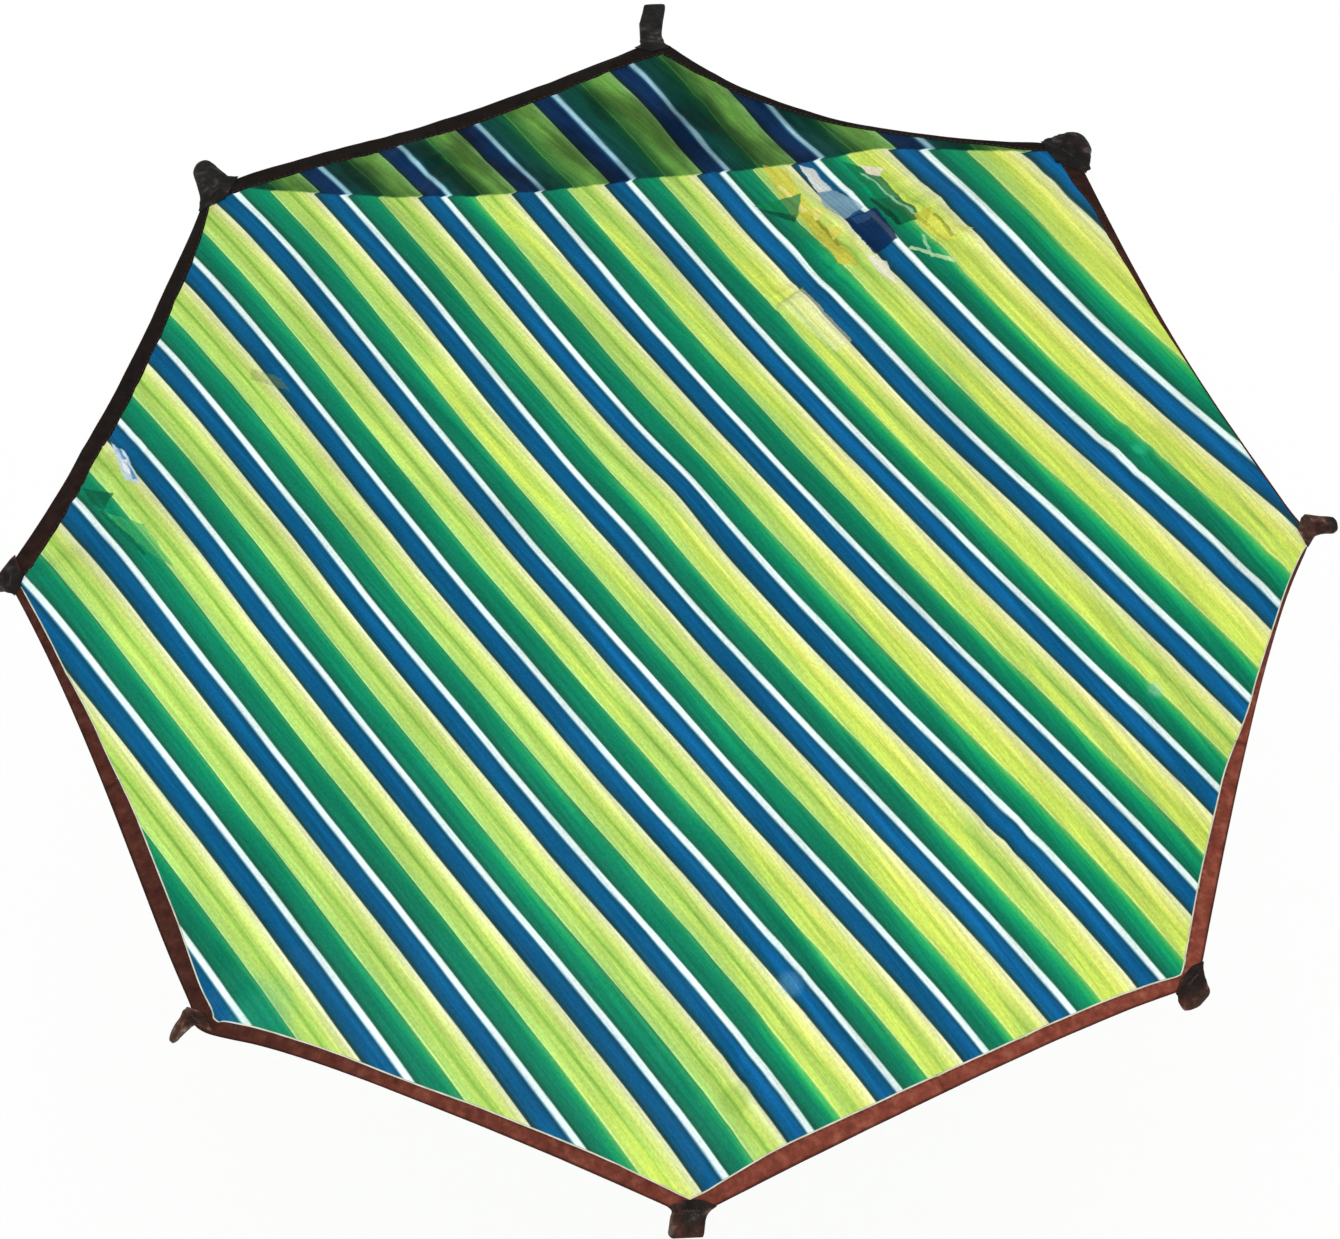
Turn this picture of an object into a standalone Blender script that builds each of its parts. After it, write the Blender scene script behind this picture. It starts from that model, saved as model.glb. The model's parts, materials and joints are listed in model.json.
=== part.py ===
"""Beach umbrella: eight ribs under one striped cloth, on a telescoping, tilting pole with a spike.

Metres, +Z up. The pole stands on the Z axis, and z = 0 is the ground line: the underside of the
spike's step plate. Rib 1 points along +Y, and the numbers run clockwise seen from above.
"""

import math

import bmesh
import bpy
from mathutils import Matrix, Vector

# Fits
GAP = 0.0003
SLIDE_GAP = 0.0004

# Canopy, measured in plan from the pole axis
RIBS = 8
CORNER_RADIUS = 1.0
EDGE_SAG = (0.060, 0.027, 0.010, 0.003, 0.005, 0.007, 0.003, 0.020)
CLOTH_THICKNESS = 0.0012
BINDING_WIDTH = 0.022
BINDING_THICKNESS = 0.0022
CLOTH_OVER_RIB = 0.0075
CROWN_LIFT = 0.014
CROWN_SPREAD = 0.085
RINGS = (0.03, 0.09, 0.20, 0.36, 0.54, 0.72, 0.88, 1.0)
EDGE_STEPS = 6

# Ribs and stretchers
NOTCH_HEIGHT = 1.80
PIVOT_RADIUS = 0.019
RIB_RADIUS = 0.0025
RIB_START_SLOPE = math.radians(4.0)
RIB_END_SLOPE = math.radians(14.0)
RIB_END = 0.991
TONGUE_LENGTH = 0.013
TONGUE_WIDTH = 0.0036
TONGUE_HEIGHT = 0.006
EYE_RADIUS = 0.0015
BRACKET_REACH = 0.357
BRACKET_DEPTH = 0.012
BRACKET_LENGTH = 0.016
BRACKET_WALL = 0.0020
EAR_WALL = 0.0016
EAR_ROUND = 0.0042
RIVET_RADIUS = 0.0015
STRETCHER_RATIO = 1.209
STRETCHER_WIDTH = 0.0034
STRETCHER_HEIGHT = 0.0068
GROOVE_WIDTH = 0.0020
GROOVE_MARGIN = 0.018
TIP_RADIUS = 0.0042
TIP_START = 0.975
TIP_LENGTH = 0.062
POCKET_START = 1.0025
POCKET_LENGTH = 0.052
POCKET_WIDTH = 0.034
POCKET_GAP = 0.009
POCKET_THICKNESS = 0.0016

# Notch and runner
MAST_RADIUS = 0.011
MAST_WALL = 0.0012
HUB_RADIUS = 0.026
HUB_BOTTOM = -0.006
HUB_TOP = 0.010
SLOT_WIDTH = 0.0044
WIRE_RADIUS = 0.001
FLANGE_RADIUS = 0.0255
GRIP_RADIUS = 0.018
BUTTON_DROP = -0.067
BUTTON_RADIUS = 0.004

# Tilt knuckle
TILT_HEIGHT = 0.70
TILT_TONGUE = 0.016
EAR_THICKNESS = 0.0076
EAR_RADIUS = 0.014
TILT_PIN_RADIUS = 0.003
KNUCKLE_RADIUS = 0.019
SOCKET_RADIUS = 0.017
SOCKET_FLOOR = 0.0305
TILT_BUTTON_DROP = -0.0125

# Pole and spike
EXTENSION_RADIUS = 0.0125
EXTENSION_WALL = 0.0012
EXTENSION_BOTTOM = 0.23
LOWER_RADIUS = 0.016
LOWER_WALL = 0.0015
LOWER_TOP = 0.415
COLLAR_RADIUS = 0.021
COLLAR_BOTTOM = 0.375
COLLAR_TOP = 0.455
KNOB_HEIGHT = 0.436
KNOB_RADIUS = 0.016
KNOB_BASE = 0.0274
BOSS_RADIUS = 0.009
SPIKE_LENGTH = 0.26
PLATE_RADIUS = 0.045
PLATE_THICKNESS = 0.005

# Colours
BLACK = (0.012, 0.012, 0.013)
BROWN = (0.17, 0.045, 0.025)
GREEN = (0.02, 0.28, 0.13)
STEEL = (0.62, 0.63, 0.64)
PAINT = (0.80, 0.81, 0.80)

RIB_BEND = (math.tan(RIB_END_SLOPE) - math.tan(RIB_START_SLOPE)) / (2 * (RIB_END - PIVOT_RADIUS))
CHORD_GAIN = 1 / math.cos(math.pi / RIBS) - 1


# ---------------------------------------------------------------- shared shapes

def clear_scene():
    for item in list(bpy.data.objects):
        bpy.data.objects.remove(item, do_unlink=True)


def finish(name, colour, roughness, metallic=0.0):
    """A material of its own for one sub-part."""
    material = bpy.data.materials.new(name)
    material.use_nodes = True
    shader = material.node_tree.nodes["Principled BSDF"]
    shader.inputs["Base Color"].default_value = (*colour, 1.0)
    shader.inputs["Roughness"].default_value = roughness
    shader.inputs["Metallic"].default_value = metallic
    return material


def place(name, mesh, look, parent=None, matrix=None):
    """Makes the named object from a mesh, with its look and its place under its parent."""
    mesh.shade_smooth()
    mesh.set_sharp_from_angle(angle=math.radians(35))
    piece = bpy.data.objects.new(name, mesh)
    bpy.context.scene.collection.objects.link(piece)
    piece.parent = parent
    piece.matrix_local = matrix or Matrix.Identity(4)
    piece.data.materials.clear()
    piece.data.materials.append(finish(name, *look))
    return piece


def tool(mesh):
    """A helper body that only cuts or joins other bodies."""
    piece = bpy.data.objects.new("helper", mesh)
    bpy.context.scene.collection.objects.link(piece)
    piece.hide_render = True
    piece.display_type = "WIRE"
    return piece


def to_mesh(form):
    bmesh.ops.recalc_face_normals(form, faces=form.faces)
    mesh = bpy.data.meshes.new("shape")
    form.to_mesh(mesh)
    form.free()
    return mesh


def combine(body, *steps):
    """Joins or cuts the body with each (operation, mesh) in turn and returns the new mesh."""
    base = tool(body)
    helpers = []
    for operation, mesh in steps:
        helper = tool(mesh)
        helpers.append(helper)
        change = base.modifiers.new(operation, "BOOLEAN")
        change.operation = operation
        change.object = helper
        change.solver = "EXACT"
    view = bpy.context.evaluated_depsgraph_get()
    result = bpy.data.meshes.new_from_object(base.evaluated_get(view))
    for item in [base, *helpers]:
        bpy.data.objects.remove(item, do_unlink=True)
    return result


def moved(mesh, matrix):
    mesh.transform(matrix)
    return mesh


def loft(rings):
    """Closed body through rings of equal count, with flat ends."""
    form = bmesh.new()
    loops = [[form.verts.new(point) for point in ring] for ring in rings]
    for lower, upper in zip(loops, loops[1:]):
        for i, corner in enumerate(lower):
            j = (i + 1) % len(lower)
            form.faces.new((corner, lower[j], upper[j], upper[i]))
    form.faces.new(reversed(loops[0]))
    form.faces.new(loops[-1])
    return to_mesh(form)


def circle(radius, height, sides):
    turns = (2 * math.pi * i / sides for i in range(sides))
    return [Vector((radius * math.cos(t), radius * math.sin(t), height)) for t in turns]


def turned(profile, sides=20):
    """Solid of revolution about Z through (radius, height) points, closed by flat ends."""
    return loft([circle(radius, height, sides) for radius, height in profile])


def sleeve(profile, sides=20):
    """Ring-shaped solid of revolution about Z: the profile is a closed loop off the axis."""
    form = bmesh.new()
    loops = [[form.verts.new(p) for p in circle(r, z, sides)] for r, z in profile]
    for lower, upper in zip(loops, loops[1:] + loops[:1]):
        for i, corner in enumerate(lower):
            j = (i + 1) % sides
            form.faces.new((corner, lower[j], upper[j], upper[i]))
    return to_mesh(form)


def rod(radius, start, end, sides=16):
    """Round bar between two points."""
    start, end = Vector(start), Vector(end)
    turn = (end - start).to_track_quat("Z", "Y").to_matrix().to_4x4()
    bar = turned([(radius, 0.0), (radius, (end - start).length)], sides)
    return moved(bar, Matrix.Translation(start) @ turn)


def block(low, high):
    x0, y0, z0 = low
    x1, y1, z1 = high
    corners = ((x0, y0), (x1, y0), (x1, y1), (x0, y1))
    return loft([[Vector((x, y, z)) for x, y in corners] for z in (z0, z1)])


def arc(centre, radius, start, end, steps):
    """Points of an arc in a plane, in degrees, both ends included."""
    angles = (math.radians(start + (end - start) * i / steps) for i in range(steps + 1))
    return [(centre[0] + radius * math.cos(a), centre[1] + radius * math.sin(a)) for a in angles]


def plate_xz(outline, half_width):
    """Prism of an (x, z) outline, as wide as wanted along Y."""
    return loft([[Vector((x, y, z)) for x, z in outline] for y in (-half_width, half_width)])


def plate_yz(outline, x0, x1):
    """Prism of a (y, z) outline between two stations along X."""
    return loft([[Vector((x, y, z)) for y, z in outline] for x in (x0, x1)])


def along_x(x, y=0.0, z=0.0):
    """Frame whose Z axis points along +X, for turned bodies that lie across the pole."""
    return Matrix.Translation((x, y, z)) @ Matrix.Rotation(math.pi / 2, 4, "Y")


# ---------------------------------------------------------------- canopy surface

def rib_angle(number):
    return math.pi / 2 - 2 * math.pi * (number - 1) / RIBS


def rib_drop(reach):
    """How far the rib's centre line lies below the notch pivots, at a distance from the axis."""
    run = reach - PIVOT_RADIUS
    return math.tan(RIB_START_SLOPE) * run + RIB_BEND * run * run


def rib_slope(reach):
    return math.atan(math.tan(RIB_START_SLOPE) + 2 * RIB_BEND * (reach - PIVOT_RADIUS))


def cloth_height(x, y):
    """Middle of the cloth: over each rib it follows the rib, between ribs it is pulled straight."""
    reach = math.hypot(x, y)
    between = abs(math.sin(RIBS / 2 * (math.atan2(y, x) - rib_angle(1)))) ** 1.3
    drop = rib_drop(reach * (1 + CHORD_GAIN * between))
    crown = CROWN_LIFT * math.exp(-((reach / CROWN_SPREAD) ** 2))
    return NOTCH_HEIGHT + CLOTH_OVER_RIB - drop + crown


def outline(inset):
    """Canopy edge in plan, inset from the corners' octagon, each edge curved in by its sag."""
    radius = CORNER_RADIUS - inset / math.cos(math.pi / RIBS)
    points = []
    for number, sag in enumerate(EDGE_SAG, start=1):
        here, there = rib_angle(number), rib_angle(number + 1)
        start = Vector((math.cos(here), math.sin(here))) * radius
        end = Vector((math.cos(there), math.sin(there))) * radius
        inward = -(start + end).normalized()
        for step in range(EDGE_STEPS):
            t = step / EDGE_STEPS
            points.append(start.lerp(end, t) + inward * sag * 4 * t * (1 - t))
    return points


def on_cloth(point, offset):
    return Vector((point.x, point.y, cloth_height(point.x, point.y) + offset))


def canopy():
    edge = outline(BINDING_WIDTH + GAP)
    form = bmesh.new()
    sides = []
    for offset in (CLOTH_THICKNESS / 2, -CLOTH_THICKNESS / 2):
        centre = form.verts.new(on_cloth(Vector((0.0, 0.0)), offset))
        rings = [[form.verts.new(on_cloth(p * share, offset)) for p in edge] for share in RINGS]
        sides.append(rings[-1])
        for i in range(len(edge)):
            j = (i + 1) % len(edge)
            form.faces.new((centre, rings[0][i], rings[0][j]))
            for inner, outer in zip(rings, rings[1:]):
                form.faces.new((inner[i], outer[i], outer[j], inner[j]))
    upper, lower = sides
    for i in range(len(edge)):
        j = (i + 1) % len(edge)
        form.faces.new((upper[i], lower[i], lower[j], upper[j]))
    place("canopy", to_mesh(form), (GREEN, 0.45))


def edge_binding():
    inner, outer = outline(BINDING_WIDTH), outline(0.0)
    half = BINDING_THICKNESS / 2
    form = bmesh.new()
    loops = []
    for edge, offset in ((inner, half), (outer, half), (outer, -half), (inner, -half)):
        loops.append([form.verts.new(on_cloth(point, offset)) for point in edge])
    for near, far in zip(loops, loops[1:] + loops[:1]):
        for i, corner in enumerate(near):
            j = (i + 1) % len(near)
            form.faces.new((corner, near[j], far[j], far[i]))
    place("edge_binding", to_mesh(form), (BROWN, 0.8))


# ---------------------------------------------------------------- ribs
# A rib's own frame: origin on its pivot in the notch, +X outward, +Y along the pivot axis.

def rib_point(reach, depth=0.0):
    """Point at a depth under the rib's centre line, in the rib's frame."""
    slope = rib_slope(reach)
    down = Vector((-math.sin(slope), 0.0, -math.cos(slope)))
    return Vector((reach - PIVOT_RADIUS, 0.0, -rib_drop(reach))) + down * depth


def rib_frame(reach):
    """Frame on the rib's centre line, with +X along the rib and +Z out of the cloth."""
    return Matrix.Translation(rib_point(reach)) @ Matrix.Rotation(rib_slope(reach), 4, "Y")


def spread(start, end, steps):
    return [start + (end - start) * i / steps for i in range(steps)]


def rib_mesh():
    start = PIVOT_RADIUS + TONGUE_LENGTH - 0.002
    stations = spread(start, BRACKET_REACH, 4) + spread(BRACKET_REACH, RIB_END, 6) + [RIB_END]
    rings = []
    for reach in stations:
        frame = rib_frame(reach)
        rings.append([frame @ Vector((0.0, p.x, p.y)) for p in circle(RIB_RADIUS, 0.0, 8)])
    height = TONGUE_HEIGHT / 2
    tongue_outline = arc((0.0, 0.0), height, 90, 270, 6)
    tongue_outline += [(TONGUE_LENGTH, -height), (TONGUE_LENGTH, height)]
    tongue = plate_xz(tongue_outline, TONGUE_WIDTH / 2)
    tongue.transform(Matrix.Rotation(RIB_START_SLOPE, 4, "Y"))
    eye = rod(EYE_RADIUS, (0, -TONGUE_WIDTH, 0), (0, TONGUE_WIDTH, 0), 8)
    return combine(loft(rings), ("UNION", tongue), ("DIFFERENCE", eye))


def bracket_mesh():
    """Sleeve crimped on the rib, with two ears below it and the rivet that the stretcher turns on."""
    inner = STRETCHER_WIDTH / 2 + SLIDE_GAP
    outer = inner + EAR_WALL
    half = BRACKET_LENGTH / 2
    wrap = rod(RIB_RADIUS + BRACKET_WALL, (-half, 0, 0), (half, 0, 0), 10)
    bore = rod(RIB_RADIUS + GAP, (-BRACKET_LENGTH, 0, 0), (BRACKET_LENGTH, 0, 0), 10)
    root, depth = EAR_ROUND + 0.0013, RIB_RADIUS + BRACKET_WALL / 3
    ear = arc((0.0, -BRACKET_DEPTH), EAR_ROUND, 180, 360, 4) + [(root, -depth), (-root, -depth)]
    ears = [plate_xz(ear, (outer - inner) / 2) for _ in range(2)]
    for side, mesh in zip((-1, 1), ears):
        mesh.transform(Matrix.Translation((0, side * (inner + outer) / 2, 0)))
    reach = outer + RIVET_RADIUS / 2
    rivet = rod(RIVET_RADIUS, (0, -reach, -BRACKET_DEPTH), (0, reach, -BRACKET_DEPTH), 8)
    joins = [("UNION", ears[0]), ("UNION", ears[1]), ("DIFFERENCE", bore), ("UNION", rivet)]
    return combine(wrap, *joins)


def stretcher_length():
    return STRETCHER_RATIO * rib_point(BRACKET_REACH, BRACKET_DEPTH).length


def stretcher_mesh():
    """Channel-section bar from the bracket rivet, at the origin, to the runner, along +X."""
    length = stretcher_length()
    half = STRETCHER_HEIGHT / 2
    outline_xz = arc((0.0, 0.0), half, 90, 270, 5) + arc((length, 0.0), half - 0.0004, -90, 90, 5)
    bar = plate_xz(outline_xz, STRETCHER_WIDTH / 2)
    side = GROOVE_WIDTH / 2
    groove = block((GROOVE_MARGIN, -side, -2 * half), (length - GROOVE_MARGIN, side, half - 0.0012))
    across = STRETCHER_WIDTH
    eye = rod(RIVET_RADIUS + SLIDE_GAP, (0, -across, 0), (0, across, 0), 8)
    far_eye = rod(WIRE_RADIUS + GAP, (length, -across, 0), (length, across, 0), 8)
    return combine(bar, ("DIFFERENCE", groove), ("DIFFERENCE", eye), ("DIFFERENCE", far_eye))


def tip_mesh():
    """Moulded cap on the rib's end: a socket for the rib and a round nose, along +X."""
    end = TIP_LENGTH
    nose = [(TIP_RADIUS * math.cos(a), end - TIP_RADIUS * (1 - math.sin(a)))
            for a in (0.0, 0.6, 1.15)]
    body = turned([(TIP_RADIUS, 0.0), *nose], 10)
    body.transform(along_x(0.0))
    depth = (RIB_END - TIP_START) / math.cos(RIB_END_SLOPE) + GAP
    bore = rod(RIB_RADIUS + GAP, (-0.001, 0, 0), (depth, 0, 0), 8)
    return combine(body, ("DIFFERENCE", bore))


def pocket_mesh():
    """Webbing folded back on itself round the tip, both sides open, along +X."""
    inner = POCKET_GAP / 2
    outer = inner + POCKET_THICKNESS
    bend = POCKET_LENGTH - outer
    path = [(0.0, -outer), *arc((bend, 0.0), outer, -90, 90, 6), (0.0, outer), (0.0, inner)]
    path += [*arc((bend, 0.0), inner, 90, -90, 6), (0.0, -inner)]
    return plate_xz(path, POCKET_WIDTH / 2)


def stretcher_frame():
    """Place of an open stretcher in the rib's frame: +X runs down and in, to the runner pivot."""
    rivet = rib_point(BRACKET_REACH, BRACKET_DEPTH)
    lean = math.asin(rivet.x / stretcher_length())
    return Matrix.Translation(rivet) @ Matrix.Rotation(math.pi / 2 + lean, 4, "Y")


def ribs():
    rib, bracket, stretcher = rib_mesh(), bracket_mesh(), stretcher_mesh()
    tip, pocket = tip_mesh(), pocket_mesh()
    for number in range(1, RIBS + 1):
        turn = Matrix.Rotation(rib_angle(number), 4, "Z")
        pivot = Matrix.Translation((PIVOT_RADIUS, 0, NOTCH_HEIGHT))
        arm = place(f"rib_{number}", rib.copy(), (STEEL, 0.35, 0.9), None, turn @ pivot)
        frame = rib_frame(BRACKET_REACH)
        place(f"rib_bracket_{number}", bracket.copy(), (STEEL, 0.4, 0.9), arm, frame)
        place(f"stretcher_{number}", stretcher.copy(), (STEEL, 0.38, 0.9), arm, stretcher_frame())
        end = rib_frame(RIB_END)
        shift = (TIP_START - RIB_END) / math.cos(RIB_END_SLOPE)
        cap = end @ Matrix.Translation((shift, 0, 0))
        place(f"rib_tip_{number}", tip.copy(), (BLACK, 0.5), arm, cap)
        root = (POCKET_START - RIB_END) / math.cos(RIB_END_SLOPE)
        strap = end @ Matrix.Translation((root, 0, 0))
        place(f"tip_pocket_{number}", pocket.copy(), (BLACK, 0.85), arm, strap)


# ---------------------------------------------------------------- mast, notch and runner

def slots(inner, bottom, top):
    """Eight radial cutters for the rib or stretcher ends."""
    cuts = []
    for number in range(1, RIBS + 1):
        cut = block((inner, -SLOT_WIDTH / 2, bottom), (0.05, SLOT_WIDTH / 2, top))
        cuts.append(("DIFFERENCE", moved(cut, Matrix.Rotation(rib_angle(number), 4, "Z"))))
    return cuts


def mast():
    inner = MAST_RADIUS - MAST_WALL
    bottom, top = TILT_HEIGHT + SOCKET_FLOOR + GAP, NOTCH_HEIGHT + HUB_TOP
    profile = [(inner, bottom), (MAST_RADIUS, bottom), (MAST_RADIUS, top), (inner, top)]
    place("mast", sleeve(profile), (PAINT, 0.35, 0.2))


def notch_hub():
    bore = MAST_RADIUS + GAP
    groove_in, groove_out = PIVOT_RADIUS - 0.0015, PIVOT_RADIUS + 0.0015
    groove_top = 0.0016
    profile = [(bore, HUB_BOTTOM), (groove_in, HUB_BOTTOM), (groove_in, groove_top)]
    profile += [(groove_out, groove_top), (groove_out, HUB_BOTTOM), (HUB_RADIUS, HUB_BOTTOM)]
    profile += [(HUB_RADIUS, HUB_TOP - 0.002), (HUB_RADIUS - 0.002, HUB_TOP), (bore, HUB_TOP)]
    hub = combine(sleeve(profile, 24), *slots(0.0145, HUB_BOTTOM - 0.005, 0.005))
    place("notch_hub", hub, (BLACK, 0.5), None, Matrix.Translation((0, 0, NOTCH_HEIGHT)))


def notch_wire():
    ring = [(PIVOT_RADIUS + p.x, p.y) for p in circle(WIRE_RADIUS, 0.0, 6)]
    wire = sleeve(ring, 40)
    place("notch_wire", wire, (STEEL, 0.3, 1.0), None, Matrix.Translation((0, 0, NOTCH_HEIGHT)))


def crown_cap():
    plug = MAST_RADIUS - MAST_WALL - GAP
    seat = HUB_TOP + GAP
    rim = 0.020
    dome = [(rim * math.cos(a), seat + 0.0018 + 0.0045 * math.sin(a)) for a in (0, 0.4, 0.8, 1.2)]
    cap = turned([(plug, -0.012), (plug, seat), (rim, seat), *dome])
    place("crown_cap", cap, (BLACK, 0.45), None, Matrix.Translation((0, 0, NOTCH_HEIGHT)))


def runner_height():
    """Height of the runner pivots when the canopy is open."""
    rivet = rib_point(BRACKET_REACH, BRACKET_DEPTH)
    fall = math.sqrt(stretcher_length() ** 2 - rivet.x ** 2)
    return NOTCH_HEIGHT + rivet.z - fall


def runner():
    bore = MAST_RADIUS + SLIDE_GAP
    waist = 0.014
    profile = [(bore, -0.095), (0.0205, -0.095), (0.0215, -0.093), (0.0205, -0.090)]
    profile += [(GRIP_RADIUS, -0.087), (GRIP_RADIUS - 0.001, -0.067), (GRIP_RADIUS, -0.048)]
    profile += [(waist, -0.041), (waist, -0.0065), (FLANGE_RADIUS, -0.006)]
    profile += [(FLANGE_RADIUS, 0.006), (waist, 0.0064), (waist, 0.012), (bore, 0.012)]
    hole = rod(BUTTON_RADIUS + GAP, (0, -0.008, BUTTON_DROP), (0, -0.03, BUTTON_DROP))
    cuts = slots(waist + 0.0008, -0.0064, 0.0067)
    body = combine(sleeve(profile, 24), *cuts, ("DIFFERENCE", hole))
    seat = Matrix.Translation((0, 0, runner_height()))
    slider = place("runner", body, (BLACK, 0.45), None, seat)
    button = turned([(BUTTON_RADIUS, 0.0), (BUTTON_RADIUS, 0.0055), (0.003, 0.0068)], 16)
    button.transform(Matrix.Rotation(math.pi / 2, 4, "X"))
    spot = Matrix.Translation((0, -0.0148, BUTTON_DROP))
    place("runner_button", button, (STEEL, 0.4, 0.6), slider, spot)


# ---------------------------------------------------------------- tilt knuckle

def ear_outline(radius, foot):
    """Upright lug in the YZ plane: straight sides and a round head about the pin."""
    return [(-radius, foot), (radius, foot)] + arc((0.0, 0.0), radius, 0, 180, 12)


def tilt_yoke():
    inner = TILT_TONGUE / 2 + SLIDE_GAP
    outer = inner + EAR_THICKNESS
    base = turned([(KNUCKLE_RADIUS - 0.002, -0.062), (KNUCKLE_RADIUS, -0.059),
                   (KNUCKLE_RADIUS, -0.024), (KNUCKLE_RADIUS - 0.002, -0.022)])
    ears = [("UNION", plate_yz(ear_outline(EAR_RADIUS, -0.024), side * inner, side * outer))
            for side in (-1, 1)]
    bore = rod(EXTENSION_RADIUS + GAP, (0, 0, -0.07), (0, 0, -SOCKET_FLOOR + GAP), 24)
    pin_hole = rod(TILT_PIN_RADIUS + GAP, (-0.03, 0, 0), (0.03, 0, 0))
    start, end = (inner - 0.001, 0, TILT_BUTTON_DROP), (0.03, 0, TILT_BUTTON_DROP)
    button_hole = rod(BUTTON_RADIUS + GAP, start, end)
    cuts = [("DIFFERENCE", mesh) for mesh in (bore, pin_hole, button_hole)]
    yoke = combine(base, *ears, *cuts)
    place("tilt_yoke", yoke, (BLACK, 0.5), None, Matrix.Translation((0, 0, TILT_HEIGHT)))


def tilt_button():
    profile = [(BUTTON_RADIUS, 0.0), (BUTTON_RADIUS, 0.0085), (BUTTON_RADIUS - 0.001, 0.0098)]
    button = moved(turned(profile, 16), along_x(0.0))
    spot = Matrix.Translation((0.0118, 0, TILT_HEIGHT + TILT_BUTTON_DROP))
    place("tilt_button", button, (STEEL, 0.4, 0.6), None, spot)


def tilt_pin():
    reach = TILT_TONGUE / 2 + SLIDE_GAP + EAR_THICKNESS + GAP
    head = 0.0052
    half = [(head - 0.0012, reach + 0.0022), (head, reach + 0.0012), (head, reach)]
    half.append((TILT_PIN_RADIUS, reach))
    profile = [(r, -x) for r, x in half] + [(r, x) for r, x in reversed(half)]
    pin = moved(turned(profile, 20), along_x(0.0))
    place("tilt_pin", pin, (STEEL, 0.3, 1.0), None, Matrix.Translation((0, 0, TILT_HEIGHT)))


def tilt_tongue():
    """Socket under the mast with the tongue that turns between the yoke's ears."""
    socket = turned([(SOCKET_RADIUS - 0.002, 0.022), (SOCKET_RADIUS, 0.025),
                     (SOCKET_RADIUS, 0.073), (SOCKET_RADIUS - 0.001, 0.075)])
    lug = [(-y, -z) for y, z in ear_outline(EAR_RADIUS - 0.001, -0.026)]
    tongue = plate_yz(lug, -TILT_TONGUE / 2, TILT_TONGUE / 2)
    bore = rod(MAST_RADIUS + GAP, (0, 0, SOCKET_FLOOR), (0, 0, 0.08), 24)
    pin_hole = rod(TILT_PIN_RADIUS + GAP, (-0.03, 0, 0), (0.03, 0, 0))
    body = combine(socket, ("UNION", tongue), ("DIFFERENCE", bore), ("DIFFERENCE", pin_hole))
    place("tilt_tongue", body, (BLACK, 0.5), None, Matrix.Translation((0, 0, TILT_HEIGHT)))


# ---------------------------------------------------------------- pole and spike

def extension_tube():
    inner, top = EXTENSION_RADIUS - EXTENSION_WALL, TILT_HEIGHT - SOCKET_FLOOR
    profile = [(inner, EXTENSION_BOTTOM), (EXTENSION_RADIUS, EXTENSION_BOTTOM)]
    profile += [(EXTENSION_RADIUS, top), (inner, top)]
    place("extension_tube", sleeve(profile), (PAINT, 0.35, 0.2))


def lower_pole():
    inner, bottom = LOWER_RADIUS - LOWER_WALL, PLATE_THICKNESS + GAP
    profile = [(inner, bottom), (LOWER_RADIUS, bottom), (LOWER_RADIUS, LOWER_TOP)]
    profile.append((inner, LOWER_TOP))
    place("lower_pole", sleeve(profile), (PAINT, 0.35, 0.2))


def clamp_collar():
    """Collar over the lower pole's mouth, with the boss that the clamp screw turns in."""
    wide, narrow, step = LOWER_RADIUS + GAP, EXTENSION_RADIUS + GAP, LOWER_TOP + GAP
    rim = COLLAR_RADIUS - 0.002
    profile = [(wide, COLLAR_BOTTOM), (rim, COLLAR_BOTTOM), (COLLAR_RADIUS, COLLAR_BOTTOM + 0.003)]
    profile += [(COLLAR_RADIUS, COLLAR_TOP - 0.003), (rim, COLLAR_TOP), (narrow, COLLAR_TOP)]
    profile += [(narrow, step), (wide, step)]
    boss = rod(BOSS_RADIUS, (0.0175, 0, KNOB_HEIGHT), (KNOB_BASE - SLIDE_GAP, 0, KNOB_HEIGHT), 20)
    hole = rod(BUTTON_RADIUS + GAP, (0.008, 0, KNOB_HEIGHT), (0.03, 0, KNOB_HEIGHT))
    collar = combine(sleeve(profile, 24), ("UNION", boss), ("DIFFERENCE", hole))
    place("clamp_collar", collar, (BLACK, 0.5))


def clamp_knob():
    """Lobed hand knob with the clamp screw; its origin lies on the screw's axis."""
    sides, lobes = 36, 6

    def lobed(radius, height):
        ring = circle(1.0, height, sides)
        return [Vector((p.x * radius * wave, p.y * radius * wave, height)) for p, wave in
                ((p, 1 + 0.10 * math.cos(lobes * math.atan2(p.y, p.x))) for p in ring)]

    head = [lobed(KNOB_RADIUS - 0.003, 0.0), lobed(KNOB_RADIUS, 0.002), lobed(KNOB_RADIUS, 0.009)]
    head.append(lobed(KNOB_RADIUS - 0.003, 0.012))
    screw = rod(BUTTON_RADIUS, (0, 0, EXTENSION_RADIUS + GAP - KNOB_BASE), (0, 0, 0.001), 16)
    knob = combine(loft(head), ("UNION", screw))
    knob.transform(along_x(0.0))
    spot = Matrix.Translation((KNOB_BASE, 0, KNOB_HEIGHT))
    place("clamp_knob", knob, (BLACK, 0.45), None, spot)


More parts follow.
